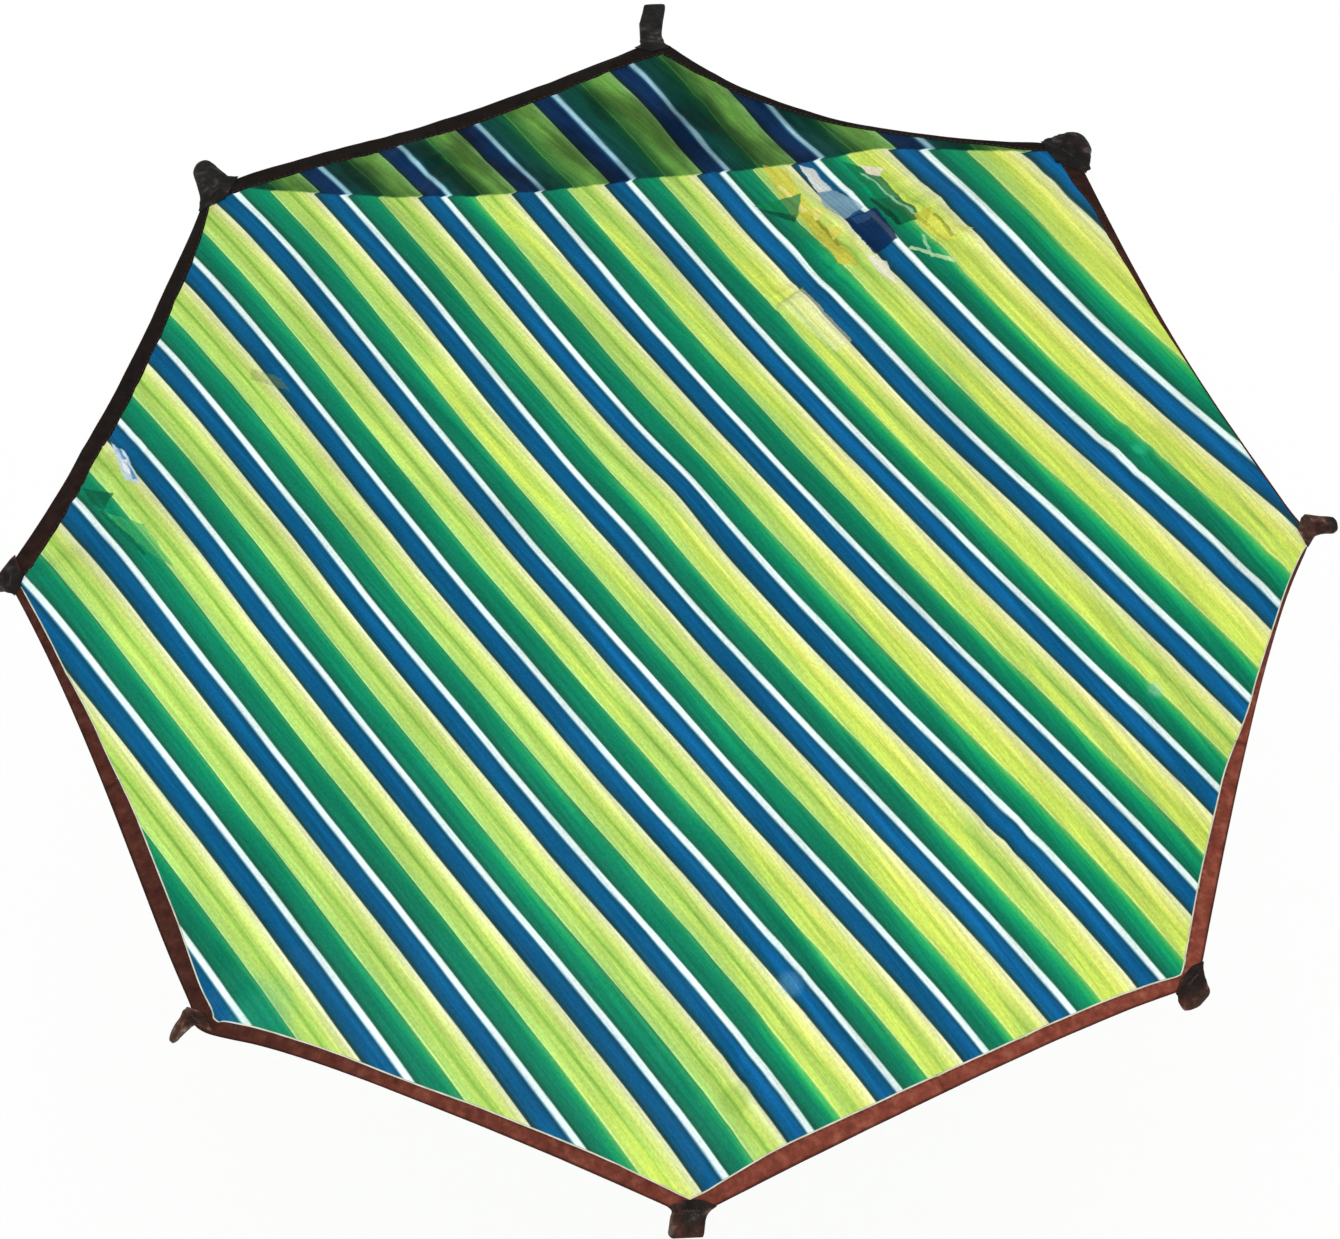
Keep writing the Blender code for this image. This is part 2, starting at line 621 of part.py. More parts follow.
def ground_spike():
    """Fluted point, step plate and the plug that fills the lower pole's foot."""
    sides = 24

    def fluted(radius, height, depth):
        ring = circle(1.0, height, sides)
        cuts = [radius * (1 - depth * abs(math.sin(2 * math.atan2(p.y, p.x)))) for p in ring]
        return [Vector((p.x * cut, p.y * cut, height)) for p, cut in zip(ring, cuts)]

    neck, plug = 0.014, LOWER_RADIUS - LOWER_WALL - GAP
    rings = [fluted(0.0015, -SPIKE_LENGTH, 0.0), fluted(0.0045, -SPIKE_LENGTH + 0.02, 0.25)]
    rings += [fluted(0.0085, -0.16, 0.45), fluted(0.012, -0.06, 0.45), fluted(neck, -0.03, 0.2)]
    rings += [fluted(neck, -0.018, 0.0), fluted(neck, 0.0, 0.0), fluted(PLATE_RADIUS, 0.0, 0.0)]
    rings += [fluted(PLATE_RADIUS, PLATE_THICKNESS - 0.0015, 0.0)]
    rings += [fluted(PLATE_RADIUS - 0.0015, PLATE_THICKNESS, 0.0), fluted(plug, PLATE_THICKNESS, 0.0)]
    rings += [fluted(plug, 0.05, 0.0)]
    place("ground_spike", loft(rings), (BLACK, 0.55))


def build():
    clear_scene()
    canopy()
    edge_binding()
    ribs()
    mast()
    notch_hub()
    notch_wire()
    crown_cap()
    runner()
    tilt_yoke()
    tilt_button()
    tilt_pin()
    tilt_tongue()
    extension_tube()
    lower_pole()
    clamp_collar()
    clamp_knob()
    ground_spike()


build()
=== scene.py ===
"""Looks of the beach umbrella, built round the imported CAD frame.

Metres, +Z up, in the frame's own coordinates. The cloth is one octagon cut from striped satin-finish
polyester. It is held here as eight gores, one on each rib, so that every gore can fold with its rib;
rows, columns, stripes and folds run on across the gore lines. A folded tape is sewn round the edge,
and a webbing pocket at each corner holds the rib's tip. "Plan" is the view along -Z.
"""

import json
import math

import bmesh
import bpy
import numpy as np
from mathutils import Matrix, Vector, noise


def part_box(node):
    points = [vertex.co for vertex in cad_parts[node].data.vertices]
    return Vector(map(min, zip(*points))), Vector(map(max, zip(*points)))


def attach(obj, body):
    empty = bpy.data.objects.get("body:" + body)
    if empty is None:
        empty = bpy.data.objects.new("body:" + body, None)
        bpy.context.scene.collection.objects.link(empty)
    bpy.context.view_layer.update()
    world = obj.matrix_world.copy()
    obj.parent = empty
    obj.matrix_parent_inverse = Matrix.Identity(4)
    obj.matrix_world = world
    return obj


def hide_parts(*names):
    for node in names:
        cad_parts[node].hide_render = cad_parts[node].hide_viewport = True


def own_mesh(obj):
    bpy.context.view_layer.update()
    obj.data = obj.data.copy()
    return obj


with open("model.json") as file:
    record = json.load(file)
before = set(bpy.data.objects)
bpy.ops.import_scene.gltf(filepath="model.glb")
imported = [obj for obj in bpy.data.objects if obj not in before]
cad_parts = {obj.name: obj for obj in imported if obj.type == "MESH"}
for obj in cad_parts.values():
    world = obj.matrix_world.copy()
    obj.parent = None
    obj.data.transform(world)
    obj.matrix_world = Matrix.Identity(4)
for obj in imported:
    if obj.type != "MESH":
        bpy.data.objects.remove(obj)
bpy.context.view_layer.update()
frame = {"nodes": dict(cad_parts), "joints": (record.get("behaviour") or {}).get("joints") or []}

# ---------------------------------------------------------------- driving values

RIBS = 8
RIB_JOINT = next(j for j in frame["joints"] if j["name"] == "rib_1_fold")
NOTCH_HEIGHT = RIB_JOINT["pos_m"][2]
PIVOT_RADIUS = math.hypot(*RIB_JOINT["pos_m"][:2])

# The cloth's surface, as in the CAD
RIB_START_SLOPE = math.radians(4.0)
RIB_END_SLOPE = math.radians(14.0)
RIB_END = 0.991
CLOTH_OVER_RIB = 0.0075
CROWN_LIFT = 0.014
CROWN_SPREAD = 0.085
RIB_BEND = (math.tan(RIB_END_SLOPE) - math.tan(RIB_START_SLOPE)) / (2 * (RIB_END - PIVOT_RADIUS))
CHORD_GAIN = 1 / math.cos(math.pi / RIBS) - 1

# Edge in plan, clockwise from corner 1 at +Y: each corner's small offset from its rib in degrees and
# metres, how far each edge curves in, how lopsided that curve is, and how far the edge swells out
# on its way into the corner where it starts and the one where it ends
CORNER_RADIUS = 1.0
CORNER_TURN = (-0.9, 0.6, -0.6, 0.0, -0.6, 0.7, -0.3, 0.5)
CORNER_REACH = (-0.023, 0.002, -0.011, 0.019, 0.016, 0.001, 0.016, 0.018)
EDGE_SAG = (0.056, 0.022, 0.013, 0.009, 0.013, 0.013, 0.015, 0.003)
EDGE_SKEW = (0.005, -0.005, 0.004, 0.003, -0.003, -0.004, 0.002, -0.010)
SWELL_START = (0.036, 0.019, 0.020, 0.005, 0.003, -0.014, 0.027, 0.011)
SWELL_END = (0.050, -0.011, 0.005, 0.003, 0.020, -0.002, 0.015, -0.011)

# Mesh of the cloth
COLUMNS = 80
ROWS = 112
FIRST_ROW = 0.03
CLOTH_THICKNESS = 0.0009
CLOTH_INSET = 0.003

# Stripes: periods counted across the cloth, as powers of the distance across and along the stripes
STRIPE_TURN = math.radians(35.34)
STRIPE_POWERS = ((0, 0, -0.424), (1, 0, 8.145), (0, 1, 0.075), (2, 0, -0.915), (1, 1, 0.064),
                 (0, 2, -1.042), (3, 0, -0.832), (2, 1, 0.05), (1, 2, -0.569), (0, 3, 0.023),
                 (4, 0, 0.12), (0, 4, 0.54), (2, 2, 0.87))

# Tape, one row for each edge: visible width in millimetres at five even steps and the end, and how
# much of its lit reddish brown shows at its start, middle and end; the rest is black, painted shade
TAPE_WIDTHS = ((30, 20, 14, 14, 12, 24), (38, 16, 9, 3, 3, 3), (5, 5, 9, 24, 27, 26),
               (20, 23, 23, 26, 29, 22), (21, 24, 22, 19, 21, 24), (21, 29, 28, 21, 14, 12),
               (38, 36, 34, 32, 28, 16), (33, 35, 36, 36, 35, 32))
TAPE_LIT_SHARES = ((0, 0, 0), (0.05, 0.2, 0.3), (0.3, 0.85, 1), (0.9, 0.95, 0.8), (0.7, 0.6, 0.25),
              (0.2, 0.3, 0.2), (0.05, 0, 0), (0, 0, 0))
TAPE_HALF_THICKNESS = 0.0019
SELVEDGE_EDGES = (3, 4, 5, 6)
SELVEDGE_RIBS = (3, 4, 5, 6, 7)

# Where the cloth bends down on the far side, a bowed line from corner 8 to corner 2, past which the print
# carries painted shade: the bow's middle in x, how fast it curves, and its least and most y
CREASE = (-0.16, 0.29, 0.634, 0.716)


# ---------------------------------------------------------------- surface

def edge_before(number):
    """Number of the edge that ends at a corner; the edge that starts there has the corner's own."""
    return number - 1 if number > 1 else RIBS


def corner_angle(number):
    return math.pi / 2 - 2 * math.pi * (number - 1) / RIBS


def corner_point(number):
    """Corner of the cloth in plan."""
    index = (number - 1) % RIBS
    angle = corner_angle(number) + math.radians(CORNER_TURN[index])
    return Vector((math.cos(angle), math.sin(angle))) * (CORNER_RADIUS + CORNER_REACH[index])


def edge_point(number, t):
    """Point of the edge from one corner to the next, in plan, for t from 0 to 1."""
    index = (number - 1) % RIBS
    start, end = corner_point(number), corner_point(number + 1)
    length = (end - start).length
    inward = -(start + end).normalized()
    curve = 4 * t * (1 - t) * (EDGE_SAG[index] + 2 * EDGE_SKEW[index] * (1 - 2 * t))
    swell = SWELL_START[index] * near_end(t * length) + SWELL_END[index] * near_end((1 - t) * length)
    return start.lerp(end, t) + inward * (curve - swell)


def near_end(away):
    """Share of a swell at a distance from its corner: none at the corner, most 3 cm away."""
    return math.exp(-away / 0.05) - math.exp(-away / 0.02)


def edge_inward(number, t):
    """Unit vector in plan that points from the edge into the cloth."""
    step = 0.01
    along = (edge_point(number, min(t + step, 1.0)) - edge_point(number, max(t - step, 0.0))).normalized()
    return Vector((along.y, -along.x))


def rib_drop(reach):
    run = reach - PIVOT_RADIUS
    return math.tan(RIB_START_SLOPE) * run + RIB_BEND * run * run


def between_ribs(x, y):
    """0 on a rib and 1 midway between two."""
    return np.abs(np.sin(RIBS / 2 * (np.arctan2(y, x) - math.pi / 2))) ** 1.3


def taut_height(x, y):
    """Height of the cloth before wrinkles; works on numbers and on arrays."""
    reach = np.hypot(x, y)
    between = between_ribs(x, y)
    crown = CROWN_LIFT * np.exp(-((reach / CROWN_SPREAD) ** 2))
    return NOTCH_HEIGHT + CLOTH_OVER_RIB - rib_drop(reach * (1 + CHORD_GAIN * between)) + crown


def stripe_axes(x, y):
    """Distance across the stripes and along them."""
    c, s = math.cos(STRIPE_TURN), math.sin(STRIPE_TURN)
    return x * c + y * s, y * c - x * s


def stripe_phase(x, y):
    """Stripe periods counted across the cloth; the stripes bow a little, as the cloth was cut."""
    s, t = stripe_axes(x, y)
    return sum(amount * s ** across * t ** along for across, along, amount in STRIPE_POWERS)


def crease_line(x):
    """The y of the crease at x."""
    middle, bow, least, most = CREASE
    return np.minimum(least + bow * (x - middle) ** 2, most)


def soft_step(value, start, end):
    t = np.clip((value - start) / (end - start), 0, 1)
    return t * t * (3 - 2 * t)


def field(x, y, scale, seed):
    """Smooth noise from -1 to 1 over arrays of plan points, stretched by a scale along each axis."""
    points = zip((x * scale[0]).ravel(), (y * scale[1]).ravel())
    values = [noise.noise(Vector((a, b, seed))) for a, b in points]
    return np.array(values).reshape(x.shape)


# Crumpled spots: x, y, half size, height, folds per metre, and the folds' direction in degrees
CRUMPLES = (
    (0.31, 0.50, 0.09, 0.0100, 17, 100),
    (0.46, 0.53, 0.08, 0.0100, 19, 140),
    (0.38, 0.58, 0.09, 0.0080, 12, 20),
    (-0.85, 0.19, 0.06, 0.0080, 24, 60),
    (-0.88, 0.11, 0.05, 0.0060, 18, -20),
    (0.73, 0.12, 0.06, 0.0060, 22, 40),
    (0.71, -0.28, 0.05, 0.0050, 24, 75),
    (0.06, -0.86, 0.08, 0.0070, 15, 60),
    (0.21, 0.38, 0.06, 0.0060, 16, 35),
    (-0.64, 0.31, 0.09, 0.0050, 14, -55),
    (-0.63, -0.64, 0.10, 0.0060, 12, -50),
    (0.14, -0.71, 0.08, 0.0060, 15, -45),
    (-0.02, -0.58, 0.09, 0.0060, 13, -50),
    (0.47, -0.50, 0.06, 0.0050, 20, 80),
    (-0.36, 0.74, 0.10, 0.0060, 14, 60),
    (0.10, 0.80, 0.09, 0.0060, 15, 110),
)


def crumple(x, y, spot):
    """Sharp little folds that fade out round a spot."""
    cx, cy, size, height, rate, turn = spot
    angle = math.radians(turn)
    dx, dy = x - cx, y - cy
    along = dx * math.cos(angle) + dy * math.sin(angle)
    across = dy * math.cos(angle) - dx * math.sin(angle)
    mask = np.exp(-((dx * dx + dy * dy) / (size * size)) ** 1.5)
    near = mask > 0.01
    folds = np.zeros_like(x)
    ridge = field(along[near], across[near], (rate * 0.45, rate), cx * 7 + cy * 3)
    fine = field(along[near], across[near], (rate * 1.3, rate * 2.1), cx * 5 - cy * 9)
    folds[near] = (1 - 3.2 * np.abs(ridge)) + 0.4 * (1 - 3 * np.abs(fine))
    return folds * mask * height


def corner_folds(x, y, number):
    """Tension folds that fan out from a corner."""
    point = corner_point(number)
    dx, dy = x - point.x, y - point.y
    away = np.hypot(dx, dy)
    fan = np.arctan2(dy, dx) - corner_angle(number) - math.pi
    fan = np.arctan2(np.sin(fan), np.cos(fan))
    fade = np.exp(-((away / 0.20) ** 2)) * (1 - np.exp(-((away / 0.045) ** 2)))
    return 0.0022 * fade * np.cos(9 * fan + 1.7 * number) * (1 + 0.5 * np.cos(4 * fan - number))


def wrinkles(x, y):
    """Everything that lifts the cloth from its taut surface."""
    s, t = stripe_axes(x, y)
    reach = np.hypot(x, y)
    slack = soft_step(reach, 0.08, 0.45)
    height = 0.0036 * slack * field(s, t, (5.5, 1.6), 3.0)
    height += 0.0020 * slack * field(s, t, (13.0, 2.6), 8.0)
    height += 0.0010 * field(s, t, (34.0, 6.0), 15.0)
    height += 0.0005 * np.cos(2 * math.pi * (stripe_phase(x, y) - 0.5))
    for number in range(1, RIBS + 1):
        height += corner_folds(x, y, number)
    for spot in CRUMPLES:
        height += crumple(x, y, spot)
    beyond = soft_step(y - crease_line(x), -0.01, 0.10)
    height -= 0.016 * beyond * between_ribs(x, y)
    return height * soft_step(reach, 0.02, 0.07)


def cloth_height(x, y):
    x, y = np.atleast_1d(np.asarray(x, float)), np.atleast_1d(np.asarray(y, float))
    return taut_height(x, y) + wrinkles(x, y)


# ---------------------------------------------------------------- materials

# Bands of one stripe period as (place, colour), from the middle of one white line to the next
STRIPE_LIME = (
    (0.000, "effffb"), (0.028, "e8fbf4"), (0.036, "6fae98"), (0.045, "1a5a45"), (0.075, "176a50"),
    (0.110, "10785a"), (0.200, "0b8060"), (0.270, "118d5e"), (0.308, "2c9a60"), (0.320, "1d7c50"),
    (0.330, "bfe896"), (0.346, "abdb76"), (0.420, "bade6e"), (0.470, "b4d966"), (0.500, "8abb4a"),
    (0.530, "afd864"), (0.590, "c9e374"), (0.640, "dbea8e"), (0.690, "e6eeb4"), (0.712, "ebf0c6"),
    (0.724, "2a4c44"), (0.742, "12424c"), (0.775, "105474"), (0.830, "085a88"), (0.885, "085e8e"),
    (0.925, "0c557c"), (0.948, "0b4a68"), (0.962, "5d9ab4"), (0.976, "e4fafa"), (0.990, "effffb"),
)
STRIPE_YELLOW = (
    (0.000, "effffb"), (0.028, "e8fbf4"), (0.036, "6fae98"), (0.045, "125f45"), (0.080, "0e6f52"),
    (0.130, "0a7c5a"), (0.200, "0c9062"), (0.250, "1aa45e"), (0.300, "48b45e"), (0.322, "7cc462"),
    (0.332, "dcea8c"), (0.350, "c3df62"), (0.430, "d0e560"), (0.500, "bfd858"), (0.560, "dfe870"),
    (0.620, "e6ec84"), (0.680, "e8eca8"), (0.712, "eeefc0"), (0.724, "2f5148"), (0.742, "154550"),
    (0.775, "12587c"), (0.840, "0c66a0"), (0.890, "0b6198"), (0.925, "0f5580"), (0.948, "0d4863"),
    (0.962, "74a8b4"), (0.976, "e4fafa"), (0.990, "effffb"),
)
# The same bands darker: painted shade for the far side past the crease
STRIPE_FAR_PAINTED_SHADE = (
    (0.000, "a8d2dc"), (0.020, "86b6c4"), (0.034, "1e5358"), (0.060, "0a3c3c"), (0.140, "0b463c"),
    (0.220, "0a4436"), (0.290, "0c5032"), (0.322, "1d5c30"), (0.334, "4f8440"), (0.350, "2c6a34"),
    (0.410, "4a803c"), (0.470, "5f9644"), (0.540, "6ba046"), (0.620, "669a44"), (0.690, "74a65a"),
    (0.712, "86b26c"), (0.724, "0e2a2c"), (0.760, "0a2a44"), (0.840, "082c54"), (0.930, "062a4e"),
    (0.955, "1c4c72"), (0.972, "7db0c6"), (0.990, "a8d2dc"),
)

# Painted shade and glints of small crumples on the print: x, y, radius, colour, strength
CRUMPLE_PAINTED_LIGHT = (
    (0.056, -0.866, 0.030, "7fae3c", 0.45), (0.141, -0.713, 0.024, "5b9cc0", 0.35),
    (-0.600, -0.700, 0.060, "14a07c", 0.30), (0.736, 0.117, 0.018, "36d8a0", 0.35),
    (0.710, -0.283, 0.016, "a8e0d0", 0.30),
)

# Facets of crumpled cloth, partly where folds turn other parts of the print up and partly painted shade
# and
# painted highlights of the folds: colour, strength, and convex corners in plan in millimetres
FOLD_FACETS_AND_PAINTED_LIGHT = (
    ("d9cf4c", 0.75, ((185, 675), (225, 660), (262, 560), (225, 560))),
    ("d3c843", 0.80, ((235, 570), (265, 555), (325, 445), (292, 450))),
    ("e9e688", 0.90, ((205, 625), (214, 628), (252, 572), (243, 568))),
    ("8d8f2c", 0.80, ((262, 548), (268, 550), (300, 492), (294, 490))),
    ("e6e27a", 0.90, ((258, 580), (287, 567), (262, 548))),
    ("dcd860", 0.90, ((280, 535), (306, 524), (288, 503))),
    ("0e8450", 0.85, ((166, 580), (244, 610), (236, 560))),
    # darker lower half of the green triangle: painted shade
    ("0a4c34", 0.85, ((172, 574), (234, 562), (229, 545))),
    ("e2e8e0", 0.85, ((245, 676), (268, 668), (296, 617), (272, 610))),
    ("86a9ba", 0.75, ((272, 612), (296, 618), (344, 579), (309, 544), (280, 572))),
    # navy diamond: painted shade in the fold
    ("0b2a52", 0.95, ((309, 544), (361, 575), (391, 506), (352, 469))),
    ("274f78", 0.80, ((318, 545), (356, 567), (350, 545), (330, 532))),
    # green band in painted shade, with a painted highlight line along it and a painted dark line under it
    ("0c7249", 0.90, ((316, 686), (369, 660), (408, 600), (366, 594))),
    ("0a5f3e", 0.90, ((364, 596), (406, 602), (436, 556), (394, 531))),
    ("8ed6ae", 0.85, ((345, 657), (351, 655), (427, 562), (420, 560))),
    ("063626", 0.80, ((352, 598), (361, 598), (401, 535), (391, 533))),
    ("efe3cf", 0.80, ((347, 674), (384, 668), (375, 648), (355, 655))),
    ("d9dd5a", 0.90, ((444, 577), (490, 507), (463, 500), (431, 537))),
    ("e4e67c", 0.90, ((470, 545), (517, 531), (480, 513))),
    ("bfc444", 0.85, ((422, 562), (452, 573), (440, 532))),
    ("8f9a34", 0.75, ((452, 556), (457, 558), (484, 515), (478, 513))),
    ("c4e6ac", 0.75, ((405, 484), (411, 489), (482, 463), (477, 456))),
    ("a6dcae", 0.75, ((430, 516), (436, 514), (446, 466), (440, 466))),
    ("f1eed8", 0.85, ((334, 470), (369, 457), (382, 410), (349, 439))),
    ("e9ebc8", 0.32, ((188, 369), (230, 402), (301, 296), (273, 274))),
    ("9aa24a", 0.45, ((186, 368), (232, 405), (231, 397), (190, 362))),
    # painted glint on the crumple near the left edge
    ("cfe6f4", 0.90, ((-863, 227), (-838, 205), (-809, 142), (-834, 151))),
    ("3f86c0", 0.85, ((-852, 214), (-846, 212), (-815, 150), (-822, 151))),
    ("f4fafc", 0.90, ((-842, 190), (-832, 186), (-826, 160), (-836, 168))),
    ("0a5f40", 0.85, ((-903, 150), (-852, 130), (-864, 102), (-883, 113))),
    ("3aa862", 0.70, ((-871, 103), (-798, 66), (-745, -19), (-781, 9))),
    ("0b5a3c", 0.70, ((-872, 100), (-866, 103), (-790, 12), (-796, 10))),
    ("6f8c46", 0.35, ((-640, 330), (-590, 300), (-575, 272), (-640, 310))),
)


def linear(code):
    """Linear colour of an sRGB hex code."""
    parts = [int(code[i:i + 2], 16) / 255 for i in (0, 2, 4)]
    return [p / 12.92 if p <= 0.04045 else ((p + 0.055) / 1.055) ** 2.4 for p in parts] + [1.0]


class Look:
    """A node material round one Principled shader."""

    def __init__(self, name, sockets):
        self.material = bpy.data.materials.new(name)
        self.material.use_nodes = True
        self.tree = self.material.node_tree
        self.shader = self.tree.nodes["Principled BSDF"]
        for key, value in sockets.items():
            self.shader.inputs[key].default_value = value

    def add(self, kind, inputs, out=0, **settings):
        node = self.tree.nodes.new("ShaderNode" + kind)
        for key, value in settings.items():
            setattr(node, key, value)
        for key, value in inputs.items():
            if isinstance(value, bpy.types.NodeSocket):
                self.tree.links.new(value, node.inputs[key])
            else:
                node.inputs[key].default_value = value
        return node.outputs[out]

    def math(self, operation, first, second=0.0, third=0.0):
        return self.add("Math", {0: first, 1: second, 2: third}, operation=operation)

    def times(self, first, second):
        return self.math("MULTIPLY", first, second)

    def place(self):
        return self.add("TexCoord", {}, "Object")

    def point(self, name):
        return self.add("Attribute", {}, "Vector", attribute_name=name)

    def split(self, vector):
        first = self.add("SeparateXYZ", {0: vector})
        return first.node.outputs[0], first.node.outputs[1], first.node.outputs[2]

    def stretched(self, vector, scale):
        return self.add("VectorMath", {0: vector, 1: scale}, operation="MULTIPLY")

    def noise(self, vector, scale, detail=3.0, roughness=0.5, distortion=0.0):
        sockets = {"Vector": vector, "Scale": scale, "Detail": detail, "Roughness": roughness,
                   "Distortion": distortion}
        return self.add("TexNoise", sockets, "Fac")

    def ramp(self, factor, bands):
        """Colours along a factor, from (position, hex code) bands."""
        output = self.add("ValToRGB", {"Fac": factor})
        elements = output.node.color_ramp.elements
        while len(elements) < len(bands):
            elements.new(0.5)
        for element, (position, code) in zip(elements, bands):
            element.position = position
            element.color = linear(code)
        return output

    def range(self, value, low, high, to_low=0.0, to_high=1.0):
        sockets = {"Value": value, 1: low, 2: high, 3: to_low, 4: to_high}
        return self.add("MapRange", sockets, interpolation_type="SMOOTHSTEP")

    def mix(self, factor, first, second, blend="MIX"):
        sockets = {0: factor, 6: first, 7: second}
        return self.add("Mix", sockets, 2, data_type="RGBA", blend_type=blend)

    def colour(self, socket):
        self.tree.links.new(socket, self.shader.inputs["Base Color"])

    def roughness(self, socket):
        self.tree.links.new(socket, self.shader.inputs["Roughness"])

    def bump(self, height, distance, strength=1.0):
        sockets = {"Height": height, "Distance": distance, "Strength": strength}
        self.tree.links.new(self.add("Bump", sockets), self.shader.inputs["Normal"])


def near_place(look, place, x, y, radius):
    """Mask that is 1 at a place on the cloth and 0 beyond a radius."""
    away = look.add("VectorMath", {0: place, 1: (x, y, 0.0)}, "Value", operation="DISTANCE")
    return look.range(away, radius, radius * 0.3)


def within(look, place, corners):
    """Mask that is 1 inside a convex facet; place holds x and y in metres, and 1."""
    corners = [(x / 1000, y / 1000) for x, y in corners]
    ring = list(zip(corners, corners[1:] + corners[:1]))
    if sum(a[0] * b[1] - b[0] * a[1] for a, b in ring) < 0:
        ring = [(b, a) for a, b in ring]
    mask = 1.0
    for (ax, ay), (bx, by) in ring:
        length = math.hypot(bx - ax, by - ay)
        nx, ny = (ay - by) / length, (bx - ax) / length
        side = look.add("VectorMath", {0: place, 1: (nx, ny, -nx * ax - ny * ay)}, "Value",
                        operation="DOT_PRODUCT")
        mask = look.math("MINIMUM", side, mask)
    return look.range(mask, -0.0012, 0.0012)


def wave(look, coordinate, period):
    return look.math("SINE", look.times(coordinate, 2 * math.pi / period))


def cloth_look(name, back):
    """Striped satin-finish polyester; the back shows the print paler and duller."""
    look = Look(name, {"Roughness": 0.5, "Specular IOR Level": 0.05})
    plan, stripe = look.point("plan"), look.point("stripe")
    phase = look.split(stripe)[0]
    x, y, _ = look.split(plan)

    def strokes(length, *noise_settings):
        return look.noise(look.stretched(stripe, (0.0, 1.0, length)), *noise_settings)

    # brush marks run along the stripes
    broad = strokes(0.085, 26.0, 3.0, 0.55, 0.3)
    streak = strokes(0.030, 150.0, 3.0, 0.6)
    hair = strokes(0.020, 430.0, 2.0, 0.6)
    speckle = strokes(0.6, 280.0, 2.0, 0.7)
    drift = strokes(0.28, 9.0, 3.0)
    drift = look.math("MULTIPLY_ADD", drift, 0.070, -0.035)
    # the far side, past the crease, gets painted shade: its print turns to darker bands, and its stripes
    # step over a little
    middle, bow, least, most = CREASE
    line = look.math("ADD", x, -middle)
    line = look.math("MINIMUM", look.math("MULTIPLY_ADD", look.times(line, line), bow, least), most)
    ragged = look.math("MULTIPLY_ADD", look.noise(plan, 30.0, 2.0), 0.010, -0.005)
    beyond = look.math("SUBTRACT", look.math("ADD", y, ragged), line)
    far = look.range(beyond, -0.003, 0.003)
    drift = look.math("MULTIPLY_ADD", far, -0.080, drift)
    place = look.math("FRACT", look.math("ADD", phase, drift))
    lime, yellow = look.ramp(place, STRIPE_LIME), look.ramp(place, STRIPE_YELLOW)
    east = look.range(x, -0.9, 1.1, -0.18, 0.15)
    share = look.range(look.math("ADD", broad, east), 0.42, 0.66)
    colour = look.mix(share, lime, yellow)
    colour = look.mix(far, colour, look.ramp(place, STRIPE_FAR_PAINTED_SHADE))
    # painted shade and glints of small crumples
    for spot_x, spot_y, radius, code, strength in CRUMPLE_PAINTED_LIGHT:
        mask = look.times(near_place(look, plan, spot_x, spot_y, radius), strength)
        colour = look.mix(mask, colour, linear(code))
    shake = look.add("TexNoise", {"Vector": plan, "Scale": 70.0, "Detail": 3.0}, "Color")
    shake_x, shake_y, _ = look.split(shake)
    tear = 0.007
    torn_x, torn_y = (look.math("MULTIPLY_ADD", shaken, tear, look.math("ADD", value, -tear / 2))
                      for shaken, value in ((shake_x, x), (shake_y, y)))
    torn = look.add("CombineXYZ", {0: torn_x, 1: torn_y, 2: 1.0})
    # folds turn the print over and carry painted shade and highlights
    for code, strength, corners in FOLD_FACETS_AND_PAINTED_LIGHT:
        mask = look.times(within(look, torn, corners), strength)
        colour = look.mix(mask, colour, linear(code))
    tone = look.range(streak, 0.28, 0.75, 0.80, 1.14)
    tone = look.times(tone, look.range(speckle, 0.25, 0.75, 0.87, 1.13))
    tone = look.times(tone, look.range(hair, 0.30, 0.70, 0.92, 1.06))
    tone = look.times(tone, look.range(broad, 0.3, 0.7, 0.88, 1.10))
    # the painted shade on the far side is blotchy
    cloud = strokes(0.35, 17.0, 3.0)
    blotch = look.range(cloud, 0.35, 0.65, 0.45, 1.12)
    tone = look.times(tone, look.add("Mix", {0: far, 2: 1.0, 3: blotch}, 0))
    colour = look.mix(1.0, colour, look.add("CombineXYZ", {0: tone, 1: tone, 2: tone}), "MULTIPLY")
    if back:
        colour = look.mix(0.35, colour, (0.55, 0.60, 0.50, 1.0))
        colour = look.mix(1.0, colour, (0.8, 0.8, 0.8, 1.0), "MULTIPLY")
    look.colour(colour)
    # weave and small crinkles
    threads = look.times(wave(look, x, 0.0016), wave(look, y, 0.0016))
    crinkle = strokes(0.085, 90.0, 4.0, 0.6)
    crease = look.noise(plan, 60.0, 3.0, 0.5, 0.8)
    height = look.math("MULTIPLY_ADD", threads, 0.06, look.math("ADD", crinkle, crease))
    look.bump(height, 0.0014, 0.6)
    look.roughness(look.range(crease, 0.3, 0.7, 0.42, 0.58))
    return look.material


